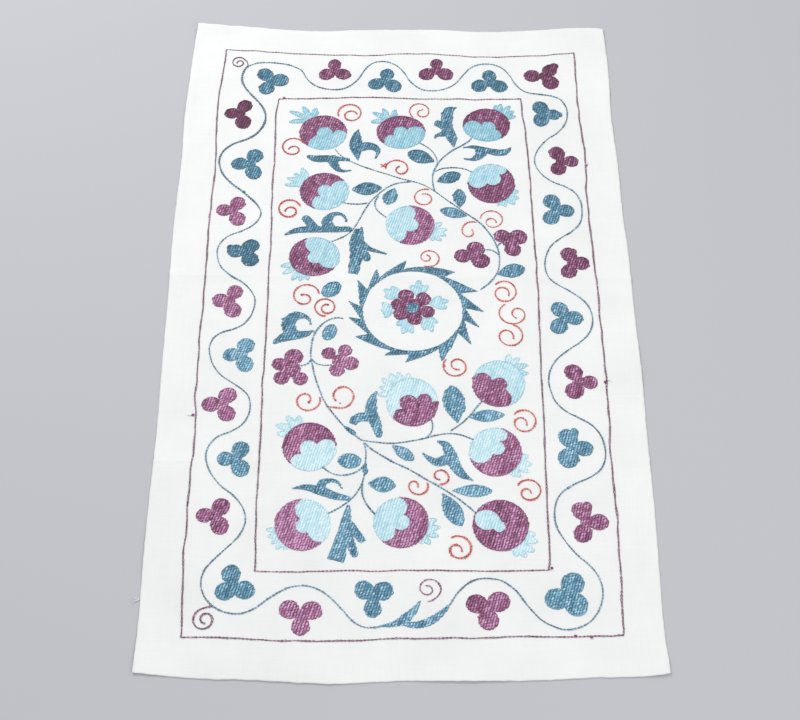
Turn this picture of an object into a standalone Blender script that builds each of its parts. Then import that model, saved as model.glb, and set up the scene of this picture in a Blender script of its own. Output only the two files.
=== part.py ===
"""Suzani: one embroidered cotton panel, lying flat and face up.

Metres, +Z up.  X runs across the panel, Y along its length.  The origin is
the middle of the panel's bounding box, on the surface that it lies on.
The panel is one cloth: its edges are turned in the same piece, and the soft
lines are where it was kept folded.
"""

import math

import bmesh
import bpy

# ---- driving dimensions -------------------------------------------------
WIDTH = 0.500          # cut width between the straightest parts of the sides
LENGTH = 0.820         # cut length between the corners
THICKNESS = 0.0012     # ground cloth, turned edge and laid silk together
COLUMNS = 26           # cells across
ROWS = 52              # cells along, closer together at the folds
FOLD_CROWDING = 2.6    # how much closer the rows are at a fold
FOLD_REACH = 0.013     # how far from a fold the rows are closer

CLOTH_COLOUR = (0.86, 0.86, 0.84, 1.0)
CLOTH_ROUGHNESS = 0.88

# How far each side stands outside (+) or inside (-) its straight line, mm.
# station: distance along the panel from its middle, mm.
SIDE_EDGES = [
    # station, left, right
    (410, -2.0, -2.0),
    (360, 1.0, -0.4),
    (320, 2.2, -0.6),
    (280, 3.6, -2.3),
    (240, 3.6, -1.6),
    (200, 2.6, -0.4),
    (120, 4.0, -0.4),
    (80, 3.9, 1.2),
    (0, 2.5, 1.2),
    (-80, 1.7, 2.3),
    (-160, 0.7, 1.2),
    (-240, 1.5, 1.2),
    (-320, 1.0, -0.6),
    (-365, 0.3, -1.5),
    (-410, 1.2, 0.2),
]
# station: distance across the panel from its middle, mm.
END_EDGES = [
    # station, top, bottom
    (-250, 6.0, 0.4),
    (-210, 4.0, 4.3),
    (-180, 1.2, 6.4),
    (-150, -2.3, 6.9),
    (-120, -4.5, 8.4),
    (-90, -5.8, 10.1),
    (-60, -3.8, 11.0),
    (-30, -2.5, 9.4),
    (0, -2.2, 8.0),
    (50, -2.2, 8.2),
    (90, -5.0, 8.0),
    (130, -4.6, 7.2),
    (180, -0.9, 4.5),
    (212, 2.0, 4.0),
    (240, 1.2, 2.3),
    (250, -0.6, 0.2),
]

# Soft lines: each lifts the cloth along a straight stretch, m.
FOLDS = [
    # name, x0, y0, x1, y1, height, half_width, fade
    ("half_fold", -0.252, 0.040, 0.252, 0.037, 0.0012, 0.011, 0.004),
    ("quarter_fold", -0.252, -0.188, -0.110, -0.190, 0.0009, 0.012, 0.060),
    ("quarter_fold_right", 0.205, -0.186, 0.252, -0.187, 0.0006, 0.012, 0.020),
    ("upper_fold", -0.252, 0.327, -0.120, 0.333, 0.0007, 0.015, 0.060),
    ("corner_drag", -0.246, -0.392, -0.085, -0.409, 0.0012, 0.022, 0.050),
    ("corner_drag_2", -0.225, -0.372, -0.150, -0.385, 0.0008, 0.018, 0.040),
    ("side_ripple", 0.200, 0.300, 0.252, 0.308, 0.0010, 0.020, 0.020),
    ("side_ripple_2", 0.208, 0.243, 0.252, 0.248, 0.0008, 0.018, 0.020),
]

# Where an edge or a corner doesn't lie quite down, m.
LIFTS = [
    # name, x, y, reach, height
    ("top_left_corner", -0.250, 0.416, 0.046, 0.0022),
    ("top_right_corner", 0.250, 0.409, 0.040, 0.0012),
    ("bottom_left_corner", -0.251, -0.411, 0.038, 0.0010),
    ("bottom_right_corner", 0.250, -0.410, 0.034, 0.0012),
    ("left_edge_high", -0.256, 0.262, 0.052, 0.0010),
    ("left_edge_low", -0.254, -0.290, 0.044, 0.0009),
    ("right_edge_middle", 0.256, -0.075, 0.050, 0.0010),
    ("top_edge_dip", -0.078, 0.408, 0.050, 0.0008),
    ("bottom_edge_middle", 0.060, -0.420, 0.055, 0.0009),
]


def along(table, column, station):
    """Read a column of an edge table at a station, as one smooth curve."""
    rows = sorted(table)
    station = min(max(station, rows[0][0]), rows[-1][0])
    for i in range(len(rows) - 1):
        if station <= rows[i + 1][0]:
            break
    x0, x1 = rows[i][0], rows[i + 1][0]
    y0, y1 = rows[i][column], rows[i + 1][column]

    def slope(k):
        a, b = max(k - 1, 0), min(k + 1, len(rows) - 1)
        return (rows[b][column] - rows[a][column]) / (rows[b][0] - rows[a][0])

    h = x1 - x0
    t = (station - x0) / h
    m0, m1 = slope(i) * h, slope(i + 1) * h
    return (
        (2 * t**3 - 3 * t**2 + 1) * y0
        + (t**3 - 2 * t**2 + t) * m0
        + (-2 * t**3 + 3 * t**2) * y1
        + (t**3 - t**2) * m1
    )


def bump(distance, reach):
    """A soft hump that is exactly nothing past its reach."""
    if distance >= reach:
        return 0.0
    return (1.0 - (distance / reach) ** 2) ** 2


def lift_at(x, y):
    """How far the underside stands off the surface."""
    lift = 0.0
    for _, x0, y0, x1, y1, height, half_width, fade in FOLDS:
        length = math.hypot(x1 - x0, y1 - y0)
        ux, uy = (x1 - x0) / length, (y1 - y0) / length
        run = (x - x0) * ux + (y - y0) * uy
        off = abs(-(x - x0) * uy + (y - y0) * ux)
        past = max(-run, run - length, 0.0)
        lift = max(lift, height * bump(off, half_width) * bump(past, fade))
    for _, cx, cy, reach, height in LIFTS:
        lift += height * bump(math.hypot(x - cx, y - cy), reach)
    return lift


def row_stations():
    """Places of the rows from 0 to 1, crowded together at the folds."""
    lines = [0.5 * (fold[2] + fold[4]) / LENGTH + 0.5 for fold in FOLDS[:4]]
    steps = 4000
    total, sums = 0.0, [0.0]
    for k in range(steps):
        v = (k + 0.5) / steps
        weight = 1.0
        for line in lines:
            weight += FOLD_CROWDING * math.exp(-(((v - line) * LENGTH / FOLD_REACH) ** 2))
        total += weight
        sums.append(total)
    stations, k = [], 0
    for row in range(ROWS + 1):
        want = total * row / ROWS
        while k < steps and sums[k + 1] < want:
            k += 1
        part = 0.0 if k >= steps else (want - sums[k]) / (sums[k + 1] - sums[k])
        stations.append(min((k + part) / steps, 1.0))
    return stations


def place(u, v):
    """The point of the panel at u across and v along, each 0 to 1."""
    sx = (u - 0.5) * WIDTH * 1000.0
    sy = (v - 0.5) * LENGTH * 1000.0
    left = -WIDTH / 2 - along(SIDE_EDGES, 1, sy) / 1000.0
    right = WIDTH / 2 + along(SIDE_EDGES, 2, sy) / 1000.0
    top = LENGTH / 2 + along(END_EDGES, 1, sx) / 1000.0
    bottom = -LENGTH / 2 - along(END_EDGES, 2, sx) / 1000.0
    return left + (right - left) * u, bottom + (top - bottom) * v


def make_cloth(collection):
    mesh = bpy.data.meshes.new("cloth_panel")
    bm = bmesh.new()
    bmesh.ops.create_grid(bm, x_segments=COLUMNS, y_segments=ROWS, size=0.5)
    stations = row_stations()
    for vert in bm.verts:
        u = vert.co.x + 0.5
        v = stations[round((vert.co.y + 0.5) * ROWS)]
        vert.co.x, vert.co.y = place(u, v)
    xs = [vert.co.x for vert in bm.verts]
    ys = [vert.co.y for vert in bm.verts]
    mid_x = 0.5 * (min(xs) + max(xs))
    mid_y = 0.5 * (min(ys) + max(ys))
    for vert in bm.verts:
        vert.co.z = lift_at(vert.co.x, vert.co.y)
        vert.co.x -= mid_x
        vert.co.y -= mid_y
    bmesh.ops.recalc_face_normals(bm, faces=bm.faces)
    if sum(face.normal.z for face in bm.faces) < 0:
        bmesh.ops.reverse_faces(bm, faces=bm.faces)
    bm.to_mesh(mesh)
    bm.free()

    cloth = bpy.data.objects.new("cloth_panel", mesh)
    collection.objects.link(cloth)
    solid = cloth.modifiers.new("thickness", "SOLIDIFY")
    solid.thickness = THICKNESS
    solid.offset = 1.0
    solid.use_even_offset = True
    mesh.shade_smooth()
    mesh.set_sharp_from_angle(angle=math.radians(40))

    material = bpy.data.materials.new("cotton_with_silk")
    material.use_nodes = True
    surface = material.node_tree.nodes["Principled BSDF"]
    surface.inputs["Base Color"].default_value = CLOTH_COLOUR
    surface.inputs["Roughness"].default_value = CLOTH_ROUGHNESS
    surface.inputs["Metallic"].default_value = 0.0
    material.diffuse_color = CLOTH_COLOUR
    mesh.materials.append(material)
    return cloth


for old in list(bpy.data.objects):
    bpy.data.objects.remove(old, do_unlink=True)

suzani = bpy.data.collections.new("suzani_embroidered_textile")
bpy.context.scene.collection.children.link(suzani)
make_cloth(suzani)
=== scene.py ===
"""Suzani embroidered textile: the looks.

A small hand-embroidered cotton panel lying flat.  The ground cloth is one thin
sheet on the folds of its solid.  Every motif is worked in laid silk rows tied
down with short slanted stitches, edged with a thin line of the same silk, and
every line, stem and spiral is a row of chain-stitch links.

Millimetres are used in the tables and turned into metres when the meshes are
made.  X runs across the panel and Y along it, from the panel's middle.
"""

import math

import bpy
import numpy as np
from mathutils import Matrix, Vector


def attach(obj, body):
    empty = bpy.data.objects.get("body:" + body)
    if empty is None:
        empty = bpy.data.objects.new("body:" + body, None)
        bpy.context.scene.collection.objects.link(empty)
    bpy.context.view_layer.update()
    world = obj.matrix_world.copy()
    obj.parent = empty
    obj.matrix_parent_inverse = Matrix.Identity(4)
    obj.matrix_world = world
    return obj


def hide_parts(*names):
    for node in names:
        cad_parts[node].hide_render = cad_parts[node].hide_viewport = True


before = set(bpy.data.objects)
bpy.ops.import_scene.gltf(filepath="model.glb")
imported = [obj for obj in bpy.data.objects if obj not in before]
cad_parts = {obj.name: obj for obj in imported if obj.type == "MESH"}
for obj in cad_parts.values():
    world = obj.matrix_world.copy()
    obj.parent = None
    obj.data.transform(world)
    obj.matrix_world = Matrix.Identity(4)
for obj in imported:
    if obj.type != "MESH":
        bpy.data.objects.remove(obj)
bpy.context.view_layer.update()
MM = 0.001
READ_FROM = np.array([-11.0, -872.2, 1308.0])
STANDS = 1.1

# ---------------------------------------------------------------------------
# The cloth: sizes, outline, folds
# ---------------------------------------------------------------------------
WIDTH, LENGTH = 500.0, 820.0
CLOTH = 0.45            # one layer of the ground cloth
HEM = 9.0               # turned edge
HEM_EXTRA = 0.35        # the second layer under the edge, pressed flat

SIDE_EDGES = [
    # station, left, right
    (410, -2.0, -2.0),
    (360, 1.0, -0.4),
    (320, 2.2, -0.6),
    (280, 3.6, -2.3),
    (240, 3.6, -1.6),
    (200, 2.6, -0.4),
    (120, 4.0, -0.4),
    (80, 3.9, 1.2),
    (0, 2.5, 1.2),
    (-80, 1.7, 2.3),
    (-160, 0.7, 1.2),
    (-240, 1.5, 1.2),
    (-320, 1.0, -0.6),
    (-365, 0.3, -1.5),
    (-410, 1.2, 0.2),
]
END_EDGES = [
    # station, top, bottom
    (-250, 6.0, 0.4),
    (-210, 4.0, 4.3),
    (-180, 1.2, 6.4),
    (-150, -2.3, 6.9),
    (-120, -4.5, 8.4),
    (-90, -5.8, 10.1),
    (-60, -3.8, 11.0),
    (-30, -2.5, 9.4),
    (0, -2.2, 8.0),
    (50, -2.2, 8.2),
    (90, -5.0, 8.0),
    (130, -4.6, 7.2),
    (180, -0.9, 4.5),
    (212, 2.0, 4.0),
    (240, 1.2, 2.3),
    (250, -0.6, 0.2),
]
FOLDS = [
    # name, x0, y0, x1, y1, height, half_width, fade
    ("half_fold", -252, 40, 252, 37, 1.2, 11, 4),
    ("quarter_fold", -252, -188, -110, -190, 0.9, 12, 60),
    ("quarter_fold_right", 205, -186, 252, -187, 0.6, 12, 20),
    ("upper_fold", -252, 327, -120, 333, 0.7, 15, 60),
    ("corner_drag", -246, -392, -85, -409, 1.2, 22, 50),
    ("corner_drag_2", -225, -372, -150, -385, 0.8, 18, 40),
    ("side_ripple", 200, 300, 252, 308, 1.0, 20, 20),
    ("side_ripple_2", 208, 243, 252, 248, 0.8, 18, 20),
]
LIFTS = [
    # name, x, y, reach, height
    ("top_left_corner", -250, 416, 46, 2.2),
    ("top_right_corner", 250, 409, 40, 1.2),
    ("bottom_left_corner", -251, -411, 38, 1.0),
    ("bottom_right_corner", 250, -410, 34, 1.2),
    ("left_edge_high", -256, 262, 52, 1.0),
    ("left_edge_low", -254, -290, 44, 0.9),
    ("right_edge_middle", 256, -75, 50, 1.0),
    ("top_edge_dip", -78, 408, 50, 0.8),
    ("bottom_edge_middle", 60, -420, 55, 0.9),
]
# Sharp lines pressed into the cloth along the folds.
CREASES = [
    # name, x0, y0, x1, y1, height, half_width
    ("half", -252, 40, 252, 37, 0.30, 2.2),
    ("quarter_left", -252, -188, -128, -190, 0.22, 2.2),
    ("diagonal", -146, -208, -82, -203, 0.16, 2.4),
    ("upper_left", -252, 327, -150, 331, 0.14, 2.6),
]


def column(table, k):
    rows = sorted(table)
    return np.array([r[0] for r in rows], float), np.array([r[k] for r in rows], float)


def along(table, k, station):
    """Read a column of an edge table at many stations, as one smooth curve."""
    xs, ys = column(table, k)
    m = np.empty_like(ys)
    m[1:-1] = (ys[2:] - ys[:-2]) / (xs[2:] - xs[:-2])
    m[0] = (ys[1] - ys[0]) / (xs[1] - xs[0])
    m[-1] = (ys[-1] - ys[-2]) / (xs[-1] - xs[-2])
    s = np.clip(np.asarray(station, float), xs[0], xs[-1])
    i = np.clip(np.searchsorted(xs, s) - 1, 0, len(xs) - 2)
    h = xs[i + 1] - xs[i]
    t = (s - xs[i]) / h
    return (
        (2 * t**3 - 3 * t**2 + 1) * ys[i]
        + (t**3 - 2 * t**2 + t) * m[i] * h
        + (-2 * t**3 + 3 * t**2) * ys[i + 1]
        + (t**3 - t**2) * m[i + 1] * h
    )


def place(u, v):
    sx, sy = (u - 0.5) * WIDTH, (v - 0.5) * LENGTH
    left = -WIDTH / 2 - along(SIDE_EDGES, 1, sy)
    right = WIDTH / 2 + along(SIDE_EDGES, 2, sy)
    top = LENGTH / 2 + along(END_EDGES, 1, sx)
    bottom = -LENGTH / 2 - along(END_EDGES, 2, sx)
    return left + (right - left) * u, bottom + (top - bottom) * v


_u, _v = np.meshgrid(np.linspace(0, 1, 27), np.linspace(0, 1, 60))
_x, _y = place(_u, _v)
MID_X, MID_Y = 0.5 * (_x.min() + _x.max()), 0.5 * (_y.min() + _y.max())


def bump(distance, reach):
    return np.where(distance < reach, (1 - np.minimum(distance / reach, 1) ** 2) ** 2, 0.0)


def waves(x, y, scale, seed):
    """Soft, even unevenness between about -1 and 1."""
    rng = np.random.default_rng(seed)
    total = np.zeros_like(x)
    for _ in range(7):
        a = rng.uniform(0, 2 * math.pi)
        k = 2 * math.pi / (scale * rng.uniform(0.6, 1.7))
        total += np.sin((x * math.cos(a) + y * math.sin(a)) * k + rng.uniform(0, 6.28))
    return total / 4.0


def to_segment(x, y, x0, y0, x1, y1):
    length = math.hypot(x1 - x0, y1 - y0)
    ux, uy = (x1 - x0) / length, (y1 - y0) / length
    run = (x - x0) * ux + (y - y0) * uy
    off = np.abs(-(x - x0) * uy + (y - y0) * ux)
    return off, np.maximum(np.maximum(-run, run - length), 0.0)


def lift(x, y):
    """How far the underside of the cloth is off the surface, mm."""
    x, y = np.asarray(x, float) + MID_X, np.asarray(y, float) + MID_Y
    z = np.zeros_like(x)
    for _, x0, y0, x1, y1, height, half_width, fade in FOLDS:
        off, past = to_segment(x, y, x0, y0, x1, y1)
        z = np.maximum(z, 0.55 * height * bump(off, half_width) * bump(past, fade))
    for _, cx, cy, reach, height in LIFTS:
        z = z + height * bump(np.hypot(x - cx, y - cy), reach)
    for _, x0, y0, x1, y1, height, half_width in CREASES:
        off, past = to_segment(x, y, x0, y0, x1, y1)
        z = z + height * bump(off, half_width) * bump(past, 14.0)
    uneven = 0.10 * waves(x, y, 34.0, 3) + 0.07 * waves(x, y, 15.0, 5)
    return z + np.maximum(0.12 + uneven, 0.0)


def top(x, y):
    """Height of the cloth's face."""
    return lift(x, y) + CLOTH


# ---------------------------------------------------------------------------
# Meshes
# ---------------------------------------------------------------------------
class Build:
    """Collects quads, with a tone, a thread map and a material for each."""

    def __init__(self):
        self.v, self.q, self.t, self.uv, self.m, self.n = [], [], [], [], [], 0

    def add(self, verts, quads, tone, uv, material=0):
        verts = np.asarray(verts, float).reshape(-1, 3)
        quads = np.asarray(quads, np.int64).reshape(-1, 4)
        self.v.append(verts)
        self.q.append(quads + self.n)
        self.t.append(np.broadcast_to(np.asarray(tone, float), (len(verts),)).copy())
        self.uv.append(np.asarray(uv, float).reshape(-1, 2))
        self.m.append(np.full(len(quads), material, np.int32))
        self.n += len(verts)

    def grids(self, points, tone, thread, material=0, closed_u=False, closed_v=False):
        """points: (n, rows, cols, 3); tone: (n,) or (n, rows, cols); thread: (n, rows, cols, 2)."""
        n, r, c, _ = points.shape
        index = np.arange(n * r * c).reshape(n, r, c)
        rr = r if closed_u else r - 1
        cc = c if closed_v else c - 1
        a = index[:, :rr, :cc]
        b = index[:, (np.arange(rr) + 1) % r][:, :, :cc]
        d = index[:, :rr][:, :, (np.arange(cc) + 1) % c]
        e = index[:, (np.arange(rr) + 1) % r][:, :, (np.arange(cc) + 1) % c]
        quads = np.stack([a, b, e, d], -1).reshape(-1, 4)
        tone = np.asarray(tone, float)
        if tone.ndim == 1:
            tone = np.broadcast_to(tone[:, None, None], (n, r, c))
        self.add(points, quads, tone.reshape(-1), thread.reshape(-1, 2), material)

    def finish(self, name, materials, body="root"):
        v = np.concatenate(self.v)
        if name != "ground_cloth":
            # the tables were read on the surface under the cloth; the work stands above it
            v[:, :2] -= (v[:, :2] - READ_FROM[:2]) * (STANDS / READ_FROM[2])
        v = v * MM
        q = np.concatenate(self.q)
        tone = np.concatenate(self.t)
        uv = np.concatenate(self.uv)
        mat = np.concatenate(self.m)
        mesh = bpy.data.meshes.new(name)
        mesh.vertices.add(len(v))
        mesh.vertices.foreach_set("co", v.ravel().astype(np.float32))
        mesh.loops.add(q.size)
        mesh.loops.foreach_set("vertex_index", q.ravel().astype(np.int32))
        mesh.polygons.add(len(q))
        mesh.polygons.foreach_set("loop_start", np.arange(0, q.size, 4, dtype=np.int32))
        mesh.polygons.foreach_set("material_index", mat)
        flat = mesh.uv_layers.new(name="OFBake")
        low, high = v[:, :2].min(0), v[:, :2].max(0)
        side = max(high - low)
        planar = (v[:, :2] - low) / side
        flat.data.foreach_set("uv", planar[q.ravel()].ravel().astype(np.float32))
        thread = mesh.uv_layers.new(name="Thread")
        thread.data.foreach_set("uv", uv[q.ravel()].ravel().astype(np.float32))
        attribute = mesh.attributes.new("tone", "FLOAT", "POINT")
        attribute.data.foreach_set("value", tone.astype(np.float32))
        for m in materials:
            mesh.materials.append(m)
        mesh.update(calc_edges=True)
        mesh.validate()
        mesh.shade_smooth()
        ob = bpy.data.objects.new(name, mesh)
        bpy.context.scene.collection.objects.link(ob)
        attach(ob, body)
        COUNTS[name] = 2 * len(q)
        return ob


COUNTS = {}

# ---------------------------------------------------------------------------
# Materials
# ---------------------------------------------------------------------------


def srgb(r, g, b):
    def f(c):
        c /= 255.0
        return c / 12.92 if c <= 0.04045 else ((c + 0.055) / 1.055) ** 2.4

    return (f(r), f(g), f(b), 1.0)


def nodes_of(name):
    m = bpy.data.materials.new(name)
    m.use_nodes = True
    t = m.node_tree
    return m, t, t.nodes, t.links, t.nodes["Principled BSDF"]


def math_node(nodes, links, op, a, b=None):
    n = nodes.new("ShaderNodeMath")
    n.operation = op
    for k, value in enumerate((a, b)):
        if value is None:
            continue
        if isinstance(value, (int, float)):
            n.inputs[k].default_value = value
        else:
            links.new(value, n.inputs[k])
    return n.outputs[0]


def silk(name, stops, roughness=0.5, sheen=0.25, ply=0.55):
    """Stranded silk: shades from stops by each stitch's tone, with fine fibres and its ply."""
    m, t, nodes, links, surface = nodes_of(name)
    tone = nodes.new("ShaderNodeAttribute")
    tone.attribute_name = "tone"
    coords = nodes.new("ShaderNodeTexCoord")
    patch = nodes.new("ShaderNodeTexNoise")
    patch.inputs["Scale"].default_value = 130.0
    patch.inputs["Detail"].default_value = 2.0
    links.new(coords.outputs["Object"], patch.inputs["Vector"])
    thread = nodes.new("ShaderNodeUVMap")
    thread.uv_map = "Thread"
    stretch = nodes.new("ShaderNodeMapping")
    stretch.inputs["Scale"].default_value = (0.35, 5.0, 1.0)
    links.new(thread.outputs["UV"], stretch.inputs["Vector"])
    fibre = nodes.new("ShaderNodeTexNoise")
    fibre.inputs["Scale"].default_value = 2.0
    fibre.inputs["Detail"].default_value = 3.0
    links.new(stretch.outputs["Vector"], fibre.inputs["Vector"])
    a = math_node(nodes, links, "MULTIPLY_ADD", patch.outputs["Fac"], 0.32)
    nodes[-1].inputs[2].default_value = -0.16
    b = math_node(nodes, links, "MULTIPLY_ADD", fibre.outputs["Fac"], 0.42)
    nodes[-1].inputs[2].default_value = -0.21
    s = math_node(nodes, links, "ADD", math_node(nodes, links, "ADD", tone.outputs["Fac"], a), b)
    ramp = nodes.new("ShaderNodeValToRGB")
    e = ramp.color_ramp.elements
    e[0].position, e[0].color = stops[0]
    e[1].position, e[1].color = stops[-1]
    for pos, col in stops[1:-1]:
        k = e.new(pos)
        k.color = col
    links.new(s, ramp.inputs["Fac"])
    links.new(ramp.outputs["Color"], surface.inputs["Base Color"])
    # the twist of the ply, as slanting ridges on the thread
    twist = nodes.new("ShaderNodeTexWave")
    twist.wave_type = "BANDS"
    twist.bands_direction = "DIAGONAL"
    twist.inputs["Scale"].default_value = 0.55
    twist.inputs["Distortion"].default_value = 0.6
    twist.inputs["Detail"].default_value = 1.0
    links.new(thread.outputs["UV"], twist.inputs["Vector"])
    h = math_node(nodes, links, "MULTIPLY", twist.outputs["Fac"], ply)
    h = math_node(nodes, links, "ADD", h, math_node(nodes, links, "MULTIPLY", fibre.outputs["Fac"], 0.8))
    relief = nodes.new("ShaderNodeBump")
    relief.inputs["Strength"].default_value = 0.45
    relief.inputs["Distance"].default_value = 0.00022
    links.new(h, relief.inputs["Height"])
    links.new(relief.outputs["Normal"], surface.inputs["Normal"])
    gloss = math_node(nodes, links, "MULTIPLY_ADD", fibre.outputs["Fac"], 0.25)
    nodes[-1].inputs[2].default_value = roughness - 0.12
    links.new(gloss, surface.inputs["Roughness"])
    surface.inputs["Sheen Weight"].default_value = sheen
    surface.inputs["Sheen Roughness"].default_value = 0.4
    surface.inputs["Specular IOR Level"].default_value = 0.45
    return m


def cotton():
    """Plain weave with slubs in both directions, not quite evenly bleached."""
    m, t, nodes, links, surface = nodes_of("plain_cotton")
    coords = nodes.new("ShaderNodeTexCoord")

    def threads(direction, stretch):
        scale = nodes.new("ShaderNodeMapping")
        scale.inputs["Scale"].default_value = stretch
        links.new(coords.outputs["Object"], scale.inputs["Vector"])
        slub = nodes.new("ShaderNodeTexNoise")
        slub.inputs["Scale"].default_value = 1.0
        slub.inputs["Detail"].default_value = 3.0
        slub.inputs["Roughness"].default_value = 0.6
        links.new(scale.outputs["Vector"], slub.inputs["Vector"])
        wave = nodes.new("ShaderNodeTexWave")
        wave.wave_type = "BANDS"
        wave.bands_direction = direction
        wave.inputs["Scale"].default_value = 570.0
        wave.inputs["Distortion"].default_value = 1.2
        wave.inputs["Detail"].default_value = 1.0
        wave.inputs["Detail Scale"].default_value = 0.3
        links.new(coords.outputs["Object"], wave.inputs["Vector"])
        return slub.outputs["Fac"], wave.outputs["Fac"]

    slub_x, wave_x = threads("X", (1500.0, 28.0, 1.0))
    slub_y, wave_y = threads("Y", (28.0, 1500.0, 1.0))
    cross = math_node(nodes, links, "MAXIMUM", wave_x, wave_y)
    slubs = math_node(nodes, links, "ADD", slub_x, slub_y)
    height = math_node(nodes, links, "ADD", math_node(nodes, links, "MULTIPLY", cross, 0.7), slubs)
    cloud = nodes.new("ShaderNodeTexNoise")
    cloud.inputs["Scale"].default_value = 14.0
    cloud.inputs["Detail"].default_value = 4.0
    links.new(coords.outputs["Object"], cloud.inputs["Vector"])
    shade = math_node(nodes, links, "ADD", math_node(nodes, links, "MULTIPLY", slubs, 0.22),
                      math_node(nodes, links, "MULTIPLY", cloud.outputs["Fac"], 0.35))
    shade = math_node(nodes, links, "ADD", shade, math_node(nodes, links, "MULTIPLY", cross, 0.10))
    ramp = nodes.new("ShaderNodeValToRGB")
    e = ramp.color_ramp.elements
    e[0].position, e[0].color = 0.24, srgb(221, 221, 218)
    e[1].position, e[1].color = 0.74, srgb(244, 244, 243)
    links.new(shade, ramp.inputs["Fac"])
    links.new(ramp.outputs["Color"], surface.inputs["Base Color"])
    relief = nodes.new("ShaderNodeBump")
    relief.inputs["Strength"].default_value = 0.35
    relief.inputs["Distance"].default_value = 0.00012
    links.new(height, relief.inputs["Height"])
    links.new(relief.outputs["Normal"], surface.inputs["Normal"])
    rough = math_node(nodes, links, "MULTIPLY_ADD", slubs, 0.10)
    nodes[-1].inputs[2].default_value = 0.80
    links.new(rough, surface.inputs["Roughness"])
    surface.inputs["Sheen Weight"].default_value = 0.15
    surface.inputs["Specular IOR Level"].default_value = 0.25
    return m


PLUM = silk("silk_plum", [
    (0.00, srgb(80, 28, 59)), (0.35, srgb(130, 66, 106)), (0.65, srgb(170, 108, 150)), (1.00, srgb(216, 170, 204))])
TEAL = silk("silk_teal", [
    (0.00, srgb(36, 85, 106)), (0.35, srgb(81, 131, 155)), (0.65, srgb(124, 172, 196)), (1.00, srgb(182, 218, 234))])
SKY = silk("silk_light_blue", [
    (0.00, srgb(124, 176, 194)), (0.35, srgb(163, 208, 221)), (0.65, srgb(197, 226, 233)), (1.00, srgb(227, 242, 245))])
CORAL = silk("silk_coral", [
    (0.00, srgb(176, 50, 44)), (0.40, srgb(216, 88, 78)), (0.70, srgb(236, 126, 114)), (1.00, srgb(248, 180, 170))])
COTTON = cotton()
SILKS = {"plum": PLUM, "teal": TEAL, "sky": SKY, "coral": CORAL}

# ---------------------------------------------------------------------------
# The ground cloth
# ---------------------------------------------------------------------------


def crowded(count, length, lines, reach, gain):
    """Stations from 0 to 1, closer together at lines."""
    s = (np.arange(6000) + 0.5) / 6000
    weight = np.ones_like(s)
    for line in lines:
        weight += gain * np.exp(-(((s - line) * length / reach) ** 2))
    total = np.concatenate([[0], np.cumsum(weight)])
    return np.interp(np.linspace(0, total[-1], count + 1), total, np.linspace(0, 1, 6001))


def ground_cloth():
    us = crowded(112, WIDTH, (0.0, 1.0), 9.0, 2.0)
    vs = crowded(196, LENGTH, (0.0, 1.0, 38.5 / LENGTH + 0.5, -189 / LENGTH + 0.5, 329 / LENGTH + 0.5), 6.0, 3.2)
    u, v = np.meshgrid(us, vs)
    x, y = place(u, v)
    x, y = x - MID_X, y - MID_Y
    edge = np.minimum(np.minimum(u, 1 - u) * WIDTH, np.minimum(v, 1 - v) * LENGTH)
    # the cut edge wavers a little with the weave
    near = bump(edge, 5.0)
    x = x + 0.35 * near * waves(x, y, 11.0, 21)
    y = y + 0.35 * near * waves(x, y, 11.0, 22)
    low = lift(x, y)
    thick = CLOTH + HEM_EXTRA * np.clip((HEM + 0.8 - edge) / 1.6, 0, 1)
    high = low + thick
    # round the two long sides of the edge
    high = high - 0.35 * thick * bump(edge, 1.2)
    lowr = low + 0.25 * thick * bump(edge, 1.2)
    b = Build()
    rows, cols = x.shape
    face = np.stack([x, y, high], -1)[None]
    under = np.stack([x, y, lowr], -1)[None]
    thread = np.stack([x, y], -1)[None]
    tone = np.zeros((1, rows, cols))
    b.grids(face[:, :, ::-1], tone, thread[:, :, ::-1])
    b.grids(under, tone, thread)
    ring = [(0, c) for c in range(cols)] + [(r, cols - 1) for r in range(1, rows)]
    ring += [(rows - 1, c) for c in range(cols - 2, -1, -1)] + [(r, 0) for r in range(rows - 2, 0, -1)]
    ring = np.array(ring)
    n_face = rows * cols
    up = ring[:, 0] * cols + (cols - 1 - ring[:, 1])
    down = n_face + ring[:, 0] * cols + ring[:, 1]
    nxt = np.roll(np.arange(len(ring)), -1)
    quads = np.stack([down, down[nxt], up[nxt], up], -1)
    b.q.append(quads)
    b.m.append(np.zeros(len(quads), np.int32))
    ob = b.finish("ground_cloth", [COTTON])
    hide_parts("cloth_panel")
    return ob


# ---------------------------------------------------------------------------
# Outlines of the motifs
# ---------------------------------------------------------------------------


def turn(points, degrees):
    a = math.radians(degrees)
    c, s = math.cos(a), math.sin(a)
    return np.stack([points[:, 0] * c - points[:, 1] * s, points[:, 0] * s + points[:, 1] * c], -1)


def oval(x, y, rx, ry, degrees=0.0, n=48, uneven=0.0, seed=0):
    t = np.linspace(0, 2 * math.pi, n, endpoint=False)
    rng = np.random.default_rng(seed)
    r = 1 + uneven * sum(np.sin(k * t + rng.uniform(0, 6.28)) / k for k in (2, 3, 5, 7))
    return turn(np.stack([rx * r * np.cos(t), ry * r * np.sin(t)], -1), degrees) + (x, y)


def inside(poly, x, y):
    """Even-odd test of many points."""
    hit = np.zeros(x.shape, bool)
    px, py = poly[:, 0], poly[:, 1]
    qx, qy = np.roll(px, -1), np.roll(py, -1)
    for x0, y0, x1, y1 in zip(px, py, qx, qy):
        if y0 == y1:
            continue
        cross = (y0 > y) != (y1 > y)
        hit ^= cross & (x < (x1 - x0) * (y - y0) / (y1 - y0) + x0)
    return hit


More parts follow.
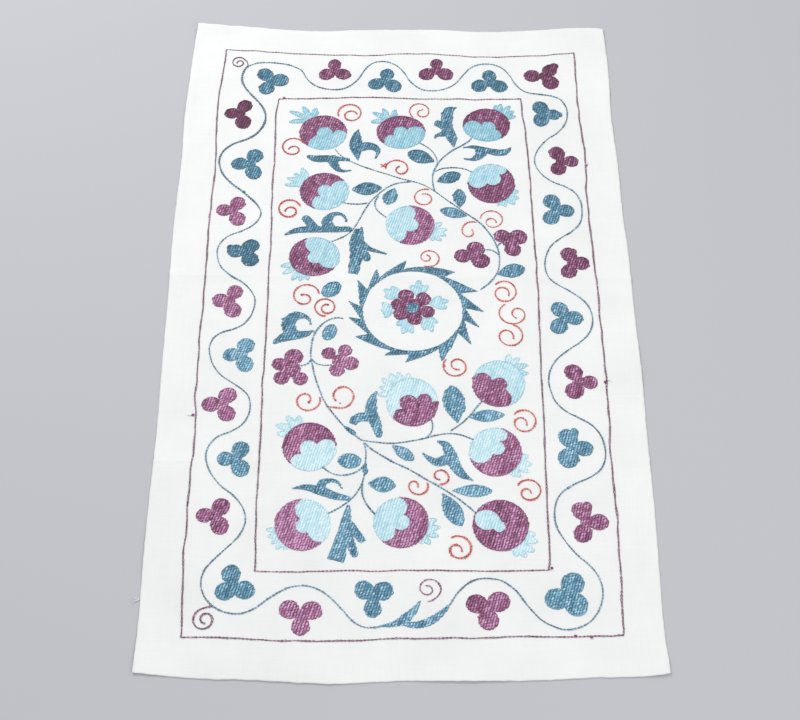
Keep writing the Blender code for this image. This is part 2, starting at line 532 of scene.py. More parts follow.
class Region:
    """A shape made of outlines that are joined and cut."""

    def __init__(self, joined, cut=(), kept=None):
        self.joined, self.cut, self.kept = list(joined), list(cut), kept

    def mask(self, x, y):
        hit = np.zeros(x.shape, bool)
        for poly in self.joined:
            hit |= inside(poly, x, y)
        if self.kept is not None:
            hit &= inside(self.kept, x, y)
        for poly in self.cut:
            hit &= ~inside(poly, x, y)
        return hit

    def box(self):
        p = np.concatenate(self.joined)
        return p[:, 0].min(), p[:, 1].min(), p[:, 0].max(), p[:, 1].max()

    def edges(self, step=1.1):
        """Pieces of the outline that show: those not inside another outline."""
        runs = []
        for k, poly in enumerate(self.joined):
            others = [p for j, p in enumerate(self.joined) if j != k]
            path = resample(poly, step, closed=True)
            hide = np.zeros(len(path), bool)
            for p in others:
                hide |= inside(p, path[:, 0], path[:, 1])
            if self.kept is not None:
                hide |= ~inside(self.kept, path[:, 0], path[:, 1])
            for p in self.cut:
                hide |= inside(p, path[:, 0], path[:, 1])
            runs += pieces_of(path, ~hide, closed=True)
        bounds = ([self.kept] if self.kept is not None else []) + self.cut
        for k, poly in enumerate(bounds):
            path = resample(poly, step, closed=True)
            show = np.zeros(len(path), bool)
            for p in self.joined:
                show |= inside(p, path[:, 0], path[:, 1])
            for j, p in enumerate(bounds):
                if j == k:
                    continue
                within = inside(p, path[:, 0], path[:, 1])
                show &= within if (self.kept is not None and j == 0) else ~within
            runs += pieces_of(path, show, closed=True)
        return runs


def pieces_of(path, show, closed):
    if show.all():
        return [np.concatenate([path, path[:1]]) if closed else path]
    if not show.any():
        return []
    n = len(path)
    start = int(np.argmin(show)) if closed else 0
    order = [(start + k) % n for k in range(n)] if closed else list(range(n))
    runs, now = [], []
    for k in order:
        if show[k]:
            now.append(path[k])
        elif now:
            runs.append(np.array(now))
            now = []
    if now:
        runs.append(np.array(now))
    return [r for r in runs if len(r) > 2]


def resample(path, step, closed=False):
    p = np.concatenate([path, path[:1]]) if closed else np.asarray(path, float)
    d = np.concatenate([[0], np.cumsum(np.hypot(*np.diff(p, axis=0).T))])
    n = max(2, int(round(d[-1] / step)) + 1)
    s = np.linspace(0, d[-1], n)
    out = np.stack([np.interp(s, d, p[:, 0]), np.interp(s, d, p[:, 1])], -1)
    return out[:-1] if closed else out


def smooth(points, per=10, closed=False):
    """A smooth curve through the points (centripetal Catmull-Rom)."""
    p = np.asarray(points, float)
    if closed:
        p = np.concatenate([p[-1:], p, p[:2]])
    else:
        p = np.concatenate([2 * p[:1] - p[1:2], p, 2 * p[-1:] - p[-2:-1]])
    out = []
    for k in range(1, len(p) - 2):
        a, b, c, d = p[k - 1], p[k], p[k + 1], p[k + 2]
        t0 = 0.0
        t1 = t0 + max(np.linalg.norm(b - a), 1e-6) ** 0.5
        t2 = t1 + max(np.linalg.norm(c - b), 1e-6) ** 0.5
        t3 = t2 + max(np.linalg.norm(d - c), 1e-6) ** 0.5
        t = np.linspace(t1, t2, per, endpoint=False)[:, None]
        A1 = (t1 - t) / (t1 - t0) * a + (t - t0) / (t1 - t0) * b
        A2 = (t2 - t) / (t2 - t1) * b + (t - t1) / (t2 - t1) * c
        A3 = (t3 - t) / (t3 - t2) * c + (t - t2) / (t3 - t2) * d
        B1 = (t2 - t) / (t2 - t0) * A1 + (t - t0) / (t2 - t0) * A2
        B2 = (t3 - t) / (t3 - t1) * A2 + (t - t1) / (t3 - t1) * A3
        out.append((t2 - t) / (t2 - t1) * B1 + (t - t1) / (t2 - t1) * B2)
    if not closed:
        out.append(p[-2:-1])
    return np.concatenate(out)


# ---------------------------------------------------------------------------
# Stitches
# ---------------------------------------------------------------------------
LEAN = 16.5             # the laid rows lean right of the panel's length
PITCH = 2.75            # between laid rows
TIE = 3.0               # between the tying stitches along a row
ROW_HIGH = 0.42
TIE_HIGH = 0.42
EDGE_HIGH = 0.55


def soft_line(n, rng, reach=6):
    a = rng.standard_normal(n + 2 * reach)
    k = np.hanning(2 * reach + 1)
    return np.convolve(a, k / k.sum(), "valid")[:n] * math.sqrt(reach)


def laid_fill(b, region, tone, seed, material=0, lean=LEAN, pitch=PITCH, contrast=1.0, high=1.0, dash=1.65, gap_shade=0.27):
    """Laid rows tied down by short slanted stitches, with painted shade on the rows where they show between the ties
    and at each row's sides, and a painted highlight along each tie.
    """
    rng = np.random.default_rng(seed)
    lean = lean + rng.uniform(-2.5, 2.5)
    pitch = pitch * rng.uniform(0.96, 1.05)
    a = math.radians(lean)
    d = np.array([math.sin(a), math.cos(a)])
    e = np.array([math.cos(a), -math.sin(a)])
    x0, y0, x1, y1 = region.box()
    corners = np.array([(x0, y0), (x1, y0), (x0, y1), (x1, y1)])
    cs, ss = corners @ e, corners @ d
    rows = np.arange(math.floor(cs.min() / pitch) - 1, math.ceil(cs.max() / pitch) + 2)
    offset = rng.uniform(0, 1)
    s = np.arange(ss.min() - 1, ss.max() + 1, 0.3)
    row_tones = (soft_line(len(rows), rng, 2) * 0.055 + soft_line(len(rows), rng, 5) * 0.045) * contrast
    wander = rng.uniform(0, 6.28, 3)
    strips, ties = [], []
    for k, row in enumerate(rows):
        c = (row + offset) * pitch + 0.16 * np.sin(s * 0.21 + wander[0] + row * 0.12) + 0.05 * np.sin(s * 0.47 + row * 0.3)
        px, py = c * e[0] + s * d[0], c * e[1] + s * d[1]
        hit = region.mask(px, py)
        if not hit.any():
            continue
        change = np.flatnonzero(np.diff(np.concatenate([[0], hit.astype(int), [0]])))
        for i, j in zip(change[::2], change[1::2]):
            if (j - i) * 0.3 < 0.8:
                continue
            strips.append((k, i, j - 1))
    if not strips:
        return
    span = 2.3
    phase = rng.uniform(0, 1)
    half = pitch * 0.58
    across = np.array([-1.0, -0.62, 0.0, 0.62, 1.0])
    rise = np.array([0.0, 0.72, 1.0, 0.72, 0.0])
    for k, i, j in strips:
        row = rows[k]
        s0, s1 = s[i] - 0.35, s[j] + 0.35
        n = max(3, int(round((s1 - s0) / span)) + 1)
        t = np.linspace(s0, s1, n)
        c = (row + offset) * pitch + 0.16 * np.sin(t * 0.21 + wander[0] + row * 0.12) + 0.05 * np.sin(t * 0.47 + row * 0.3)
        end = np.minimum(t - s0, s1 - t)
        taper = np.clip(end / 0.9, 0, 1) ** 0.5
        w = half * (0.72 + 0.28 * taper)
        cc = c[:, None] + w[:, None] * across[None]
        x = cc * e[0] + t[:, None] * d[0]
        y = cc * e[1] + t[:, None] * d[1]
        ground = top(x, y)
        z = ground - 0.04 + high * ROW_HIGH * rise[None] * (0.25 + 0.75 * taper[:, None])
        slow = 0.07 * contrast * np.sin(t * 0.05 + row * 1.7 + wander[1]) + 0.06 * contrast * np.sin(t * 0.19 + row * 0.9 + wander[2])
        # painted shade: the laid row is darkened by gap where it shows between the raised ties
        shade = tone + row_tones[k] + slow - gap_shade
        # painted shade at each row's two sides, where it dips in beside the next row
        side_shade = -0.10 * np.abs(across) ** 3
        thread = np.stack(np.broadcast_arrays(t[:, None], across[None] * 1.4 + row * 3.3), -1)
        b.grids(np.stack([x, y, z], -1)[None], (shade[:, None] + side_shade[None])[None], thread[None], material)
        # tying stitches
        first = (phase + 0.42 * row + rng.uniform(-0.13, 0.13)) % 1.0
        m = np.arange(math.floor(s0 / TIE), math.ceil(s1 / TIE) + 1)
        at = (m + first) * TIE
        at = at + rng.uniform(-0.42, 0.42, len(at))
        at = at[(at > s0 + 0.5) & (at < s1 - 0.5)]
        if not len(at):
            if s1 - s0 > 1.6:
                at = np.array([(s0 + s1) / 2])
            else:
                continue
        for q in at:
            room = min(q - s0, s1 - q)
            long = min(dash * rng.uniform(0.82, 1.18), room + 0.45)
            ties.append((q, (row + offset) * pitch + rng.uniform(-0.30, 0.30), long,
                         tone + row_tones[k] + 0.07 * contrast * math.sin(q * 0.05 + row * 1.7 + wander[1])
                         + rng.normal(0, 0.15) * contrast, row))
    if not ties:
        return
    ties = np.array(ties)
    n = len(ties)
    t = np.linspace(-1, 1, 6)
    tilt = np.radians(rng.uniform(9, 28, n))
    width = rng.uniform(0.74, 1.08, n)
    arc = np.array([-1.0, -0.6, 0.0, 0.6, 1.0])
    up = np.array([-0.35, 0.62, 1.0, 0.62, -0.35])
    body = np.sqrt(np.clip(1 - t**2 * 0.93, 0, 1))
    run = ties[:, 2][:, None] * t[None]
    s_c = ties[:, 0][:, None] + run * np.cos(tilt)[:, None]
    c_c = ties[:, 1][:, None] + run * np.sin(tilt)[:, None]
    cc = c_c[:, :, None] + (width[:, None] * body[None])[:, :, None] * arc * np.cos(tilt)[:, None, None]
    sc = s_c[:, :, None] - (width[:, None] * body[None])[:, :, None] * arc * np.sin(tilt)[:, None, None]
    x = cc * e[0] + sc * d[0]
    y = cc * e[1] + sc * d[1]
    base = top(c_c * e[0] + s_c * d[0], c_c * e[1] + s_c * d[1])[:, :, None]
    z = base + high * (ROW_HIGH * 0.80 + TIE_HIGH * up * body[None, :, None] * (0.75 + 0.25 * body[None, :, None]))
    # painted highlight: each tie is lighter than the rows it crosses, and lighter still along its raised crest and
    # middle
    shade = ties[:, 3][:, None, None] + 0.3 * gap_shade + 0.09 * up[None, None, :] + 0.05 * body[None, :, None]
    shade = shade + np.zeros_like(x)
    thread = np.stack(np.broadcast_arrays(run[:, :, None] + ties[:, 0][:, None, None], arc[None, None] * 0.8 + ties[:, 4][:, None, None] * 3.3), -1)
    b.grids(np.stack([x, y, z], -1), shade, thread, material)


def edge_line(b, region, tone, seed, material=0, radius=0.62, inset=0.50):
    """A thin line of the same silk just inside a filled shape's edge."""
    rng = np.random.default_rng(seed)
    ring = np.arange(4) * math.pi / 2 + math.pi / 4
    for path in region.edges():
        if len(path) < 4:
            continue
        n = len(path)
        d = np.gradient(path, axis=0)
        d /= np.maximum(np.hypot(d[:, 0], d[:, 1]), 1e-9)[:, None]
        side = np.stack([-d[:, 1], d[:, 0]], -1)
        probe = path + 0.7 * side
        within = 1.0 if region.mask(probe[:, 0], probe[:, 1]).mean() > 0.5 else -1.0
        run = np.arange(n) * 1.1
        bead = 0.84 + 0.18 * np.abs(np.sin(math.pi * (run / 2.9 + rng.uniform(0, 1))))
        drift = within * inset + 0.15 * np.sin(run * 0.7 + rng.uniform(0, 6.28)) + 0.08 * np.sin(run * 1.9 + rng.uniform(0, 6.28))
        centre = path + side * drift[:, None]
        r = radius * bead
        x = centre[:, None, 0] + side[:, None, 0] * (r[:, None] * np.cos(ring)[None])
        y = centre[:, None, 1] + side[:, None, 1] * (r[:, None] * np.cos(ring)[None])
        h = top(centre[:, 0], centre[:, 1]) + 0.30
        z = h[:, None] + (r[:, None] * 0.85) * np.sin(ring)[None]
        patchy = soft_line(n, rng, 3)
        shade = tone - 0.05 + 0.30 * (bead - 0.9) + 0.09 * patchy
        thread = np.stack(np.broadcast_arrays(run[:, None], ring[None] * 0.6), -1)
        b.grids(np.stack([x, y, z], -1)[None], np.broadcast_to(shade[:, None], x.shape)[None], thread[None], material, closed_v=True)


def chain(b, path, tone, seed, material=0, link=3.3, width=0.92, thick=0.36, high=1.0, weight=1.0, bead=0.86):
    """A row of chain-stitch links along a path, with painted shade at the head of each, where the next link starts
    inside it, and the top of its thread painted lighter.
    """
    rng = np.random.default_rng(seed)
    width, thick = width * weight, thick * (0.35 + 0.65 * weight)
    d = np.concatenate([[0], np.cumsum(np.hypot(*np.diff(path, axis=0).T))])
    total = d[-1]
    n = max(1, int(round(total / link)))
    cuts = np.linspace(0, total, n + 1)
    cuts[1:-1] += rng.uniform(-0.28, 0.28, n - 1)
    begin, end = cuts[:-1], cuts[1:]
    t = np.linspace(0, 2 * math.pi, 9, endpoint=False)
    # teardrop: a narrow foot at 0, widest past the middle, round at the head
    along_t = 0.5 - 0.5 * np.cos(t)
    side_t = np.sin(t) * (0.22 + 0.82 * along_t)
    length = (end - begin)[:, None] * 1.10
    u = begin[:, None] - 0.05 + along_t[None] * length
    swell = 1 + 0.14 * soft_line(n, rng, 2)
    grow = (rng.uniform(0.82, 1.18, n) * np.clip(swell, 0.6, 1.45))[:, None] * width
    v = side_t[None] * grow + rng.uniform(-0.12, 0.12, n)[:, None]
    px, py = np.interp(u, d, path[:, 0]), np.interp(u, d, path[:, 1])
    over = np.maximum(u - total, 0)
    ahead, behind = np.minimum(u + 0.6, total), np.maximum(u - 0.6, 0)
    tx = np.interp(ahead, d, path[:, 0]) - np.interp(behind, d, path[:, 0])
    ty = np.interp(ahead, d, path[:, 1]) - np.interp(behind, d, path[:, 1])
    norm = np.maximum(np.hypot(tx, ty), 1e-9)
    tx, ty = tx / norm, ty / norm
    px, py = px + tx * over, py + ty * over
    cx, cy = px - ty * v, py + tx * v
    # the way along the link's own thread, for its cross-section
    gx = np.roll(cx, -1, 1) - np.roll(cx, 1, 1)
    gy = np.roll(cy, -1, 1) - np.roll(cy, 1, 1)
    g = np.maximum(np.hypot(gx, gy), 1e-9)
    nx, ny = -gy / g, gx / g
    ring = np.arange(4) * math.pi / 2 + math.pi / 4
    r = thick * (rng.uniform(0.86, 1.14, n) * np.clip(swell, 0.75, 1.3))[:, None, None]
    x = cx[:, :, None] + nx[:, :, None] * np.cos(ring) * r
    y = cy[:, :, None] + ny[:, :, None] * np.cos(ring) * r
    h = top(cx, cy) + high * (0.20 + 0.34 * along_t[None] ** 2)
    z = h[:, :, None] + np.sin(ring) * r * 0.95
    shade = tone + rng.normal(0, 0.19, n)[:, None, None] + 0.10 * np.sin(begin * 0.02 + rng.uniform(0, 6))[:, None, None]
    # painted shade at each link's head, scaled by bead, and painted light on the top of the thread, darker underneath
    shade = shade + 0.07 * np.sin(ring)[None, None] + bead * (0.44 - along_t[None, :, None] ** 1.25) + np.zeros_like(x)
    thread = np.stack(np.broadcast_arrays(t[None, :, None] * 1.3 + begin[:, None, None], ring[None, None] * 0.5), -1)
    b.grids(np.stack([x, y, z], -1), shade, thread, material, closed_u=True, closed_v=True)


def knot(b, x, y, size, tone, seed, material=0):
    """A little lump of thread where a row begins or ends."""
    rng = np.random.default_rng(seed)
    rows, cols = 6, 8
    th = np.linspace(0.15, math.pi - 0.15, rows)[:, None]
    ph = np.linspace(0, 2 * math.pi, cols, endpoint=False)[None]
    r = size * (1 + 0.18 * rng.standard_normal((rows, cols)))
    px = x + r * np.sin(th) * np.cos(ph)
    py = y + r * np.sin(th) * np.sin(ph)
    face = top(px, py)
    pz = np.maximum(face + size * 0.35 + 0.7 * r * np.cos(th), face - 0.08)
    b.grids(np.stack([px, py, pz], -1)[None], np.full((1, rows, cols), tone), np.stack([px, py], -1)[None], material, closed_v=True)


def hair(b, points, radius, tone, seed, material=0):
    """A loose fibre or thread end."""
    p = smooth(np.asarray(points, float)[:, :2], 6)
    heights = np.asarray(points, float)[:, 2]
    z = np.interp(np.linspace(0, 1, len(p)), np.linspace(0, 1, len(heights)), heights)
    g = np.gradient(p, axis=0)
    g /= np.maximum(np.hypot(g[:, 0], g[:, 1]), 1e-9)[:, None]
    side = np.stack([-g[:, 1], g[:, 0]], -1)
    ring = np.arange(4) * math.pi / 2 + math.pi / 4
    r = radius * np.linspace(1.0, 0.45, len(p))[:, None]
    x = p[:, None, 0] + side[:, None, 0] * np.cos(ring) * r
    y = p[:, None, 1] + side[:, None, 1] * np.cos(ring) * r
    zz = z[:, None] + np.sin(ring) * r
    thread = np.stack(np.broadcast_arrays(np.arange(len(p))[:, None] * 0.8, ring[None] * 0.3), -1)
    b.grids(np.stack([x, y, zz], -1)[None], np.full((1,) + x.shape, tone), thread[None], material, closed_v=True)


# ---------------------------------------------------------------------------
# Motifs
# ---------------------------------------------------------------------------


def scallops(points, swells):
    """Round lobes, one on each stretch between two notches, swelling to the left."""
    out = []
    for (x0, y0), (x1, y1), b in zip(points[:-1], points[1:], swells):
        half = math.hypot(x1 - x0, y1 - y0) / 2
        ux, uy = (x1 - x0) / (2 * half), (y1 - y0) / (2 * half)
        radius = (half * half + b * b) / (2 * b)
        open_angle = math.asin(min(1.0, half / radius))
        if b > half:
            open_angle = math.pi - open_angle
        mx, my = (x0 + x1) / 2 - uy * (b - radius), (y0 + y1) / 2 + ux * (b - radius)
        for a in np.linspace(-open_angle, open_angle, 15)[:-1]:
            out.append((mx + radius * (ux * math.sin(a) - uy * math.cos(a)), my + radius * (uy * math.sin(a) + ux * math.cos(a))))
    out.append(points[-1])
    return np.array(out)


def patch_side(x, y, edge):
    """The side of a scalloped edge that belongs to the patch, out past the fruit's rim."""
    if np.hypot(*(edge[0] - edge[-1])) < 0.5:
        return edge[:-1]
    a1 = math.atan2(edge[-1][1] - y, edge[-1][0] - x)
    a0 = math.atan2(edge[0][1] - y, edge[0][0] - x)
    while a0 > a1:
        a0 -= 2 * math.pi
    far = [(x + 60 * math.cos(a), y + 60 * math.sin(a)) for a in np.linspace(a1, a0, 14)]
    return np.concatenate([edge, np.array(far)])


def frond(x0, y0, x1, y1, width):
    """One frond of a crown or leaflet: from its base to a blunt tip."""
    w = width
    bend = 0.05 * math.sin(x1 * 1.3 + y1)
    mx, my = (x0 + x1) / 2 - (y1 - y0) * bend, (y0 + y1) / 2 + (x1 - x0) * bend
    length = math.hypot(x1 - x0, y1 - y0)
    k = 1 - 0.18 * w / max(length, 1)
    tip = (x0 + (x1 - x0) * k, y0 + (y1 - y0) * k)
    return blade(np.array([(x0, y0), (mx, my), tip], float), (0.62 * w, 0.85 * w, w, 0.92 * w, 0.45 * w), per=8)


def blade(points, widths, end="round", per=9):
    """A tapered stroke: the outline of a leaf part along a curved middle line, with a round or a straight cut end."""
    p = smooth(points, per)
    w = np.interp(np.linspace(0, 1, len(p)), np.linspace(0, 1, len(widths)), widths)
    # soften the width's corners
    k = np.hanning(7)
    w = np.convolve(np.concatenate([[w[0]] * 3, w, [w[-1]] * 3]), k / k.sum(), "valid")
    g = np.gradient(p, axis=0)
    g /= np.maximum(np.hypot(g[:, 0], g[:, 1]), 1e-9)[:, None]
    side = np.stack([-g[:, 1], g[:, 0]], -1)
    left = p + side * w[:, None] / 2
    right = p - side * w[:, None] / 2
    cap = []
    if w[-1] > 2.0 and end == "round":
        for a in np.linspace(80, -80, 5):
            q = math.radians(a)
            cap.append(p[-1] + w[-1] / 2 * (side[-1] * math.sin(q) + g[-1] * math.cos(q) * 0.8))
    tail = []
    if w[0] > 2.0:
        for a in np.linspace(-80, 80, 5):
            q = math.radians(a)
            tail.append(p[0] + w[0] / 2 * (side[0] * math.sin(q) - g[0] * math.cos(q) * 0.8))
    parts = [left] + ([np.array(cap)] if cap else []) + [right[::-1]] + ([np.array(tail)] if tail else [])
    return np.concatenate(parts)


def leaf_shape(x, y, length, width, axis, points):
    """An oval leaf. axis points at its sharp end; points is how many ends are sharp."""
    t = np.linspace(0, 1, 25)
    if points >= 2:
        w = np.sin(math.pi * t) ** 0.85
    elif points == 1:
        w = np.sin(math.pi * t**1.22) ** 0.66
        w = w * (1 - 0.15 * np.clip((0.3 - t) / 0.3, 0, 1))
    else:
        w = np.sin(math.pi * t) ** 0.52
    half = width / 2 * w
    u = length * (0.5 - t)
    up = np.stack([u, half], -1)
    down = np.stack([u, -half], -1)[::-1][1:-1]
    return turn(np.concatenate([up, down]), axis) + (x, y)


POMEGRANATES = [
    # name, x, y, rx, ry, body, patch, tone, ends and notches of the patch's scalloped edge, how far each scallop swells
    ("fruit_01", -89.8, 247, 27.8, 25.8, "plum", "sky", 0.41,
     ((-107, 228), (-96.7, 242.3), (-78.8, 246), (-61.5, 240)), (2.5, 11, 7.5)),
    ("fruit_02", 1, 248, 28.3, 24.8, "plum", "sky", 0.42,
     ((-17.8, 232.5), (-7, 243), (8.5, 251.5), (29, 249)), (4.8, 8.8, 6.3)),
    ("fruit_03", 101, 259.3, 27.5, 25.0, "plum", "sky", 0.34,
     ((73.8, 256.5), (95, 260.3), (111, 252.3), (117.5, 239)), (7.0, 8.0, 3.2)),
    ("fruit_04", -86.3, 160.3, 27.5, 26.5, "plum", "sky", 0.44,
     ((-93.5, 134.3), (-90.3, 153.6), (-79.2, 167.2), (-62, 174.5)), (8.2, 9.5, 4.0)),
    ("fruit_05", 103.8, 172.5, 26.8, 28.2, "plum", "sky", 0.32,
     ((121.5, 194), (113, 185.8), (98.5, 172.2), (77.5, 174)), (4.0, 9.2, 7.8)),
    ("fruit_06", 11, 113, 27.3, 27.0, "plum", "sky", 0.60,
     ((10, 139.7), (14.4, 121.7), (6.3, 105), (-0.8, 90)), (5.0, 10.0, 3.6)),
    ("fruit_07", -95, 69, 27.8, 26.5, "plum", "sky", 0.38,
     ((-71, 55.3), (-89.8, 61.2), (-98.8, 75), (-103.5, 93.8)), (4.6, 8.3, 4.2)),
    ("fruit_08", 12, -115.8, 27.0, 28.8, "sky", "plum", 0.48,
     ((-7, -137), (2, -124.3), (16.7, -113), (32, -116.5), (39.5, -116)), (4.8, 11.5, 8.6, 1.4)),
    ("fruit_09", 102.4, -93.3, 27.6, 28.0, "sky", "plum", 0.56,
     ((75, -88), (96, -90.2), (108.7, -100.5), (112.5, -119.5)), (8.6, 9.4, 4.6)),
    ("fruit_10", -93, -168.4, 27.3, 27.8, "plum", "sky", 0.54,
     ((-111, -189), (-100.5, -177), (-85.3, -166.3), (-65.5, -170)), (4.6, 10.4, 8.2)),
    ("fruit_11", 96.2, -174, 26.8, 28.0, "plum", "sky", 0.60,
     ((103, -148), (100.5, -162), (93, -176.3), (70.5, -181.5)), (7.4, 9.2, 8.0)),
    ("fruit_12", -97, -255.5, 27.3, 28.2, "plum", "sky", 0.71,
     ((-77, -274.5), (-92, -263.8), (-99.2, -249.8), (-96.5, -227)), (3.6, 8.3, 7.0)),
    ("fruit_13", 0, -253, 27.2, 27.6, "plum", "sky", 0.56,
     ((-4, -225.5), (2.6, -244.5), (-5.8, -259.3), (-19.5, -273)), (6.8, 10.6, 5.8)),
    ("fruit_14", 98.4, -256, 27.6, 27.8, "plum", "sky", 0.50,
     ((74.4, -243.2), (98.8, -251.6), (91, -259.6), (74.4, -243.2)), (7.6, 8.8, 9.0)),
]
CROWNS = {
    # name: base x, y, tip x, y, width of each frond
    "fruit_01": ((-108, 264, -130.5, 263, 7), (-107, 267, -130, 279.5, 7), (-106, 269, -114.5, 287, 7.5), (-103, 271, -99.5, 285, 8)),
    "fruit_02": ((-18, 264, -34.5, 263.5, 7), (-16, 267, -32, 278, 7), (-14, 269, -20.5, 284, 7), (-10, 270, -5.5, 282, 7.5)),
    "fruit_03": ((114, 279, 113, 290, 7.5), (117, 279, 119, 292, 6), (119, 277, 129.5, 289, 7), (122, 273, 134, 281, 7),
                 (122, 270, 136, 273, 6.5)),
    "fruit_04": ((-108, 168, -131.5, 169.5, 6.5), (-108, 172, -129.5, 179, 6.5), (-108, 176, -121.5, 186, 6), (-106, 177, -113, 194, 8)),
    "fruit_05": ((123, 160, 134.5, 161, 8), (122, 156, 134, 151, 8), (120, 153, 129.5, 142.5, 8), (117, 151, 118.5, 139.5, 8),
                 (114, 149, 110, 141, 7)),
    "fruit_06": ((34, 107, 46.5, 116.5, 7), (35, 105, 51.5, 107, 7), (35, 103, 51, 98.5, 7), (34, 101, 45.5, 91.5, 7),
                 (32, 99, 36.5, 91.5, 6)),
    "fruit_07": ((-113, 58, -131.5, 56, 7), (-112, 55, -129, 45.5, 7), (-110, 52, -119, 37.5, 7.5), (-107, 50, -110, 36.5, 7),
                 (-104, 48, -101, 37.5, 6.5)),
    "fruit_08": ((-9, -106, -24, -107, 7), (-8, -102, -22, -98, 7), (-7, -98, -19.5, -87.5, 7), (-4, -95, -12, -81, 7),
                 (0, -93, -3, -79.5, 7), (5, -92, 9, -81, 7)),
    "fruit_09": ((112, -71, 114.5, -57, 8), (115, -72, 125, -61.5, 7), (118, -75, 133.5, -70, 7.5), (120, -78, 134, -81, 7)),
    "fruit_10": ((-110, -151, -127, -153.5, 7.5), (-109, -149, -128, -143.5, 8), (-107, -146, -117.5, -133, 8),
                 (-103, -145, -105, -132, 8)),
    "fruit_11": ((117, -183, 129.5, -178.5, 8), (117, -187, 132.5, -188, 7.5), (115, -190, 129, -197, 7.5), (113, -192, 120.5, -203, 7),
                 (111, -194, 114.5, -202.5, 6)),
    "fruit_12": ((-118, -262, -133, -260.5, 5.5), (-117, -265, -131, -268.5, 6), (-115, -268, -127, -276, 6),
                 (-112, -271, -122, -282, 6.5), (-110, -273, -114.5, -282.5, 7)),
    "fruit_13": ((22, -255, 35, -249.5, 8), (22, -259, 38.5, -258, 7), (21, -263, 37, -268, 7), (19, -266, 29, -276.5, 7),
                 (16, -268, 21, -276, 6)),
    "fruit_14": ((119, -268, 132.5, -265.5, 8), (119, -272, 134.5, -273.5, 8), (117, -275, 130.5, -284, 8), (114, -277, 121.5, -290, 8),
                 (110, -278, 112.5, -289.5, 7)),
}
TREFOILS = [
    # colour, tone, then x, y, radius of each lobe; a fourth is the lump at a lobe's tip
    ("teal", 0.23, (-161.7, 337.2, 9.5), (-142.8, 328.2, 9.5), (-159.2, 315.2, 9.2)),
    ("plum", 0.34, (-78.8, 353.5, 8.0), (-88.8, 337.4, 8.6), (-68.2, 338.0, 8.6)),
    ("teal", 0.28, (-15.5, 338.8, 8.0), (-29.0, 322.6, 8.9), (-7.9, 319.7, 9.4)),
    ("plum", 0.30, (44.0, 355.6, 7.4), (31.5, 338.5, 9.2), (54.5, 338.5, 9.2)),
    ("teal", 0.23, (106.8, 336.5, 8.3), (94.2, 320.3, 9.3), (118.3, 319.8, 9.4)),
    ("plum", 0.21, (158.0, 336.4, 9.2), (180.6, 346.0, 8.8), (180.2, 325.6, 9.9), (185.5, 351.5, 5.6)),
    ("teal", 0.26, (165.4, 286.6, 9.3), (165.6, 267.4, 9.5), (181.0, 275.6, 7.8), (187.3, 275.4, 4.0)),
    ("plum", 0.24, (181.0, 217.4, 9.0), (181.6, 194.0, 8.8), (197.4, 205.0, 7.9)),
    ("teal", 0.40, (171.0, 147.0, 9.5), (169.4, 123.8, 9.4), (187.0, 133.6, 8.8)),
    ("plum", 0.32, (186.0, 73.0, 8.8), (184.6, 49.6, 8.8), (199.4, 61.0, 8.8), (191.0, 76.3, 4.6)),
    ("teal", 0.34, (171.4, 0.4, 9.0), (169.4, -22.0, 9.2), (187.0, -11.0, 8.9)),
    ("plum", 0.48, (181.4, -79.0, 9.2), (181.4, -102.0, 9.5), (198.4, -91.6, 7.9)),
    ("teal", 0.43, (171.0, -157.4, 9.7), (170.0, -181.6, 10.5), (187.0, -170.0, 8.8), (177.6, -151.2, 4.6)),
    ("plum", 0.54, (179.0, -240.0, 9.2), (179.0, -265.0, 9.2), (196.0, -252.4, 8.9), (185.4, -234.8, 4.6)),
    ("teal", 0.53, (165.6, -317.6, 11.2), (149.0, -333.6, 11.0), (167.8, -339.6, 11.3)),
    ("plum", 0.45, (72.0, -338.5, 9.7), (94.2, -336.2, 10.0), (83.0, -355.3, 9.7)),
    ("teal", 0.50, (-35.8, -324.4, 9.2), (-17.0, -325.3, 9.3), (-27.3, -344.0, 8.3)),
    ("plum", 0.62, (-107.3, -344.4, 9.3), (-85.6, -345.4, 9.3), (-95.5, -362.0, 8.6), (-79.8, -348.4, 4.8)),
    ("teal", 0.43, (-164.4, -307.8, 9.0), (-169.6, -326.5, 9.0), (-150.3, -325.0, 9.3)),
    ("plum", 0.52, (-194.6, -245.6, 7.9), (-178.6, -236.0, 8.9), (-178.6, -257.4, 8.9)),
    ("teal", 0.48, (-178.0, -182.6, 8.0), (-162.6, -171.6, 8.8), (-161.4, -194.0, 8.9)),
    ("plum", 0.55, (-196.6, -119.0, 8.9), (-179.6, -108.0, 8.9), (-179.4, -130.4, 8.8)),
    ("teal", 0.58, (-179.4, -58.6, 8.1), (-164.0, -47.0, 9.0), (-164.0, -70.4, 9.0)),
    ("plum", 0.56, (-194.6, 10.4, 8.7), (-179.6, 22.0, 8.3), (-180.6, -2.4, 9.1)),
    ("teal", 0.10, (-182.6, 76.4, 8.5), (-165.6, 83.4, 8.9), (-165.6, 65.0, 9.2), (-187.6, 80.6, 4.6)),
    ("plum", 0.54, (-199.0, 133.0, 8.1), (-183.4, 143.0, 8.6), (-182.6, 120.6, 9.1)),
    ("teal", 0.24, (-185.0, 200.0, 8.8), (-167.6, 212.0, 9.3), (-168.0, 187.2, 9.4)),
    ("plum", 0.01, (-198.4, 276.0, 8.0), (-183.4, 287.4, 8.7), (-184.0, 262.2, 9.4)),
]
